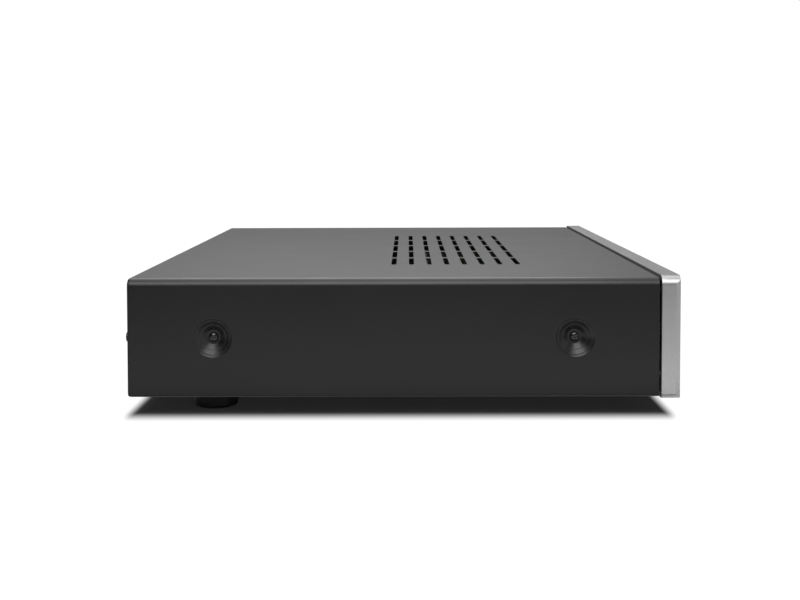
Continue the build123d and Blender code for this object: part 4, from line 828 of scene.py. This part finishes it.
MARK_HALF, MARK_SOFT = 0.00022, 0.00006
MARK_REACH, REACH_SOFT = math.radians(151), 0.01
MARK_DEEP, DEEP_SOFT = 0.0003, 0.0001
place = put(dial_marks, "TexCoord").outputs["Object"]
place = parts(dial_marks, vectors(dial_marks, "SUBTRACT", place, taken.outputs["Centre"]))
angle = maths(dial_marks, "ARCTAN2", place["X"], place["Z"])
flat = put(dial_marks, "CombineXYZ", {"X": place["X"], "Y": place["Z"]}).outputs[0]
radius = vectors(dial_marks, "LENGTH", flat)
halfway = maths(dial_marks, "MULTIPLY", taken.outputs["Step"], 0.5)
nearest_mark = maths(dial_marks, "SNAP", maths(dial_marks, "ADD", angle, halfway), taken.outputs["Step"])
turn = maths(dial_marks, "SUBTRACT", angle, nearest_mark)
aside = maths(dial_marks, "ABSOLUTE", maths(dial_marks, "MULTIPLY", turn, radius))
mark = within(dial_marks, aside, MARK_HALF, MARK_SOFT)
for value, limit, soft in (
    (radius, taken.outputs["Outer Radius"], MARK_SOFT),
    (maths(dial_marks, "SUBTRACT", taken.outputs["Inner Radius"], radius), 0.0, MARK_SOFT),
    (maths(dial_marks, "ABSOLUTE", angle), MARK_REACH, REACH_SOFT),
    (place["Y"], MARK_DEEP, DEEP_SOFT),
):
    mark = maths(dial_marks, "MULTIPLY", mark, within(dial_marks, value, limit, soft))
dial_marks.links.new(mark, given.inputs["Mark"])

MARK_GAP = 0.0025
MARK_SHADE = grey(0.02)
panel_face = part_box("front_panel")[0].y
tree = panel.node_tree
painted = tree.nodes["Principled BSDF"].inputs["Base Color"]
for node, length, step in (
    ("volume_knob", 0.003, 15), ("treble_knob", 0.002, 30), ("bass_knob", 0.002, 30),
):
    low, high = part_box(node)
    inner = (high.z - low.z) / 2 + MARK_GAP
    marks = place_group(
        tree,
        dial_marks,
        {
            "Centre": ((low.x + high.x) / 2, panel_face, (low.z + high.z) / 2),
            "Inner Radius": inner,
            "Outer Radius": inner + length,
            "Step": math.radians(step),
        },
    )
    colour = mixed(tree, marks.outputs["Mark"], painted.links[0].from_socket, MARK_SHADE)
    tree.links.new(colour, painted)
dark_window = surface("window", (0.02, 0.004, 0.006), 0.08, fineness=400, relief=0.000001)
dress(dark_window, "ir_window")
clear = surface(
    "clear_moulding", (0.80, 0.86, 0.95), 0.15, fineness=400, relief=0.000002,
    Transmission_Weight=0.6, IOR=1.49,
)
dress(clear, "light_guides")


# Knobs and buttons: turned and anodised aluminium. The knobs' faces keep the fine rings of the
# lathe, and each has a dark line let into its pointer groove.

RING_FINENESS = 2600
RING_RELIEF = 0.000004

turned_rings, taken, given = new_group(
    "Turned Rings",
    (("Centre", "NodeSocketVector", (0, 0, 0)), ("Fineness", "NodeSocketFloat", RING_FINENESS)),
    ("Height",),
)
place = put(turned_rings, "TexCoord").outputs["Object"]
place = vectors(turned_rings, "SUBTRACT", place, taken.outputs["Centre"])
radius = vectors(turned_rings, "LENGTH", vectors(turned_rings, "MULTIPLY", place, (1, 0, 1)))
lathe = put(
    turned_rings, "TexNoise", {"W": radius, "Scale": taken.outputs["Fineness"], "Detail": 2},
    noise_dimensions="1D",
)
turned_rings.links.new(lathe.outputs[0], given.inputs["Height"])


def add_rings(material, centre):
    """Lays the lathe's rings, about an axis along Y, over a material's own relief."""
    tree = material.node_tree
    normal = tree.nodes["Principled BSDF"].inputs["Normal"]
    rings = place_group(tree, turned_rings, {"Centre": centre, "Fineness": RING_FINENESS})
    bump = put(
        tree,
        "Bump",
        {
            "Height": rings.outputs["Height"],
            "Distance": RING_RELIEF,
            "Normal": normal.links[0].from_socket,
        },
    )
    tree.links.new(bump.outputs[0], normal)


for node in (
    "volume_knob", "treble_knob", "bass_knob", "power_button",
    "source_button_1", "source_button_2", "source_button_3", "source_button_4",
):
    metal = surface(
        f"{node}_aluminium", (0.60, 0.60, 0.60), 0.26, metallic=1.0, fineness=1800, relief=0.000003,
        shade=0.04, rough_spread=0.03,
    )
    low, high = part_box(node)
    add_rings(metal, (low + high) / 2)
    dress(metal, node)

GROOVE_WIDE, GROOVE_DEEP = 0.0012, 0.0005
KNOB_ROUND = 0.001
INLAY_GAP, INLAY_ROUND = 0.0001, 0.00012
inlay = surface("pointer_inlay", (0.012, 0.012, 0.012), 0.35, fineness=900, relief=0.000003)
for body in ("volume", "treble", "bass"):
    low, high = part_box(f"{body}_knob")
    radius = (high.z - low.z) / 2
    size = Vector((GROOVE_WIDE, GROOVE_DEEP, radius / 2 - KNOB_ROUND)) - Vector((INLAY_GAP,) * 3)
    middle = Vector(((low.x + high.x) / 2, low.y, high.z - radius / 4))
    middle += Vector((0, (GROOVE_DEEP + INLAY_GAP) / 2, -KNOB_ROUND / 2))
    line = block(middle, size)
    rounded(line, line.edges[:], INLAY_ROUND, 3)
    finished(line, f"{body}_pointer", inlay, body, "gloss_black")


bpy.context.view_layer.update()
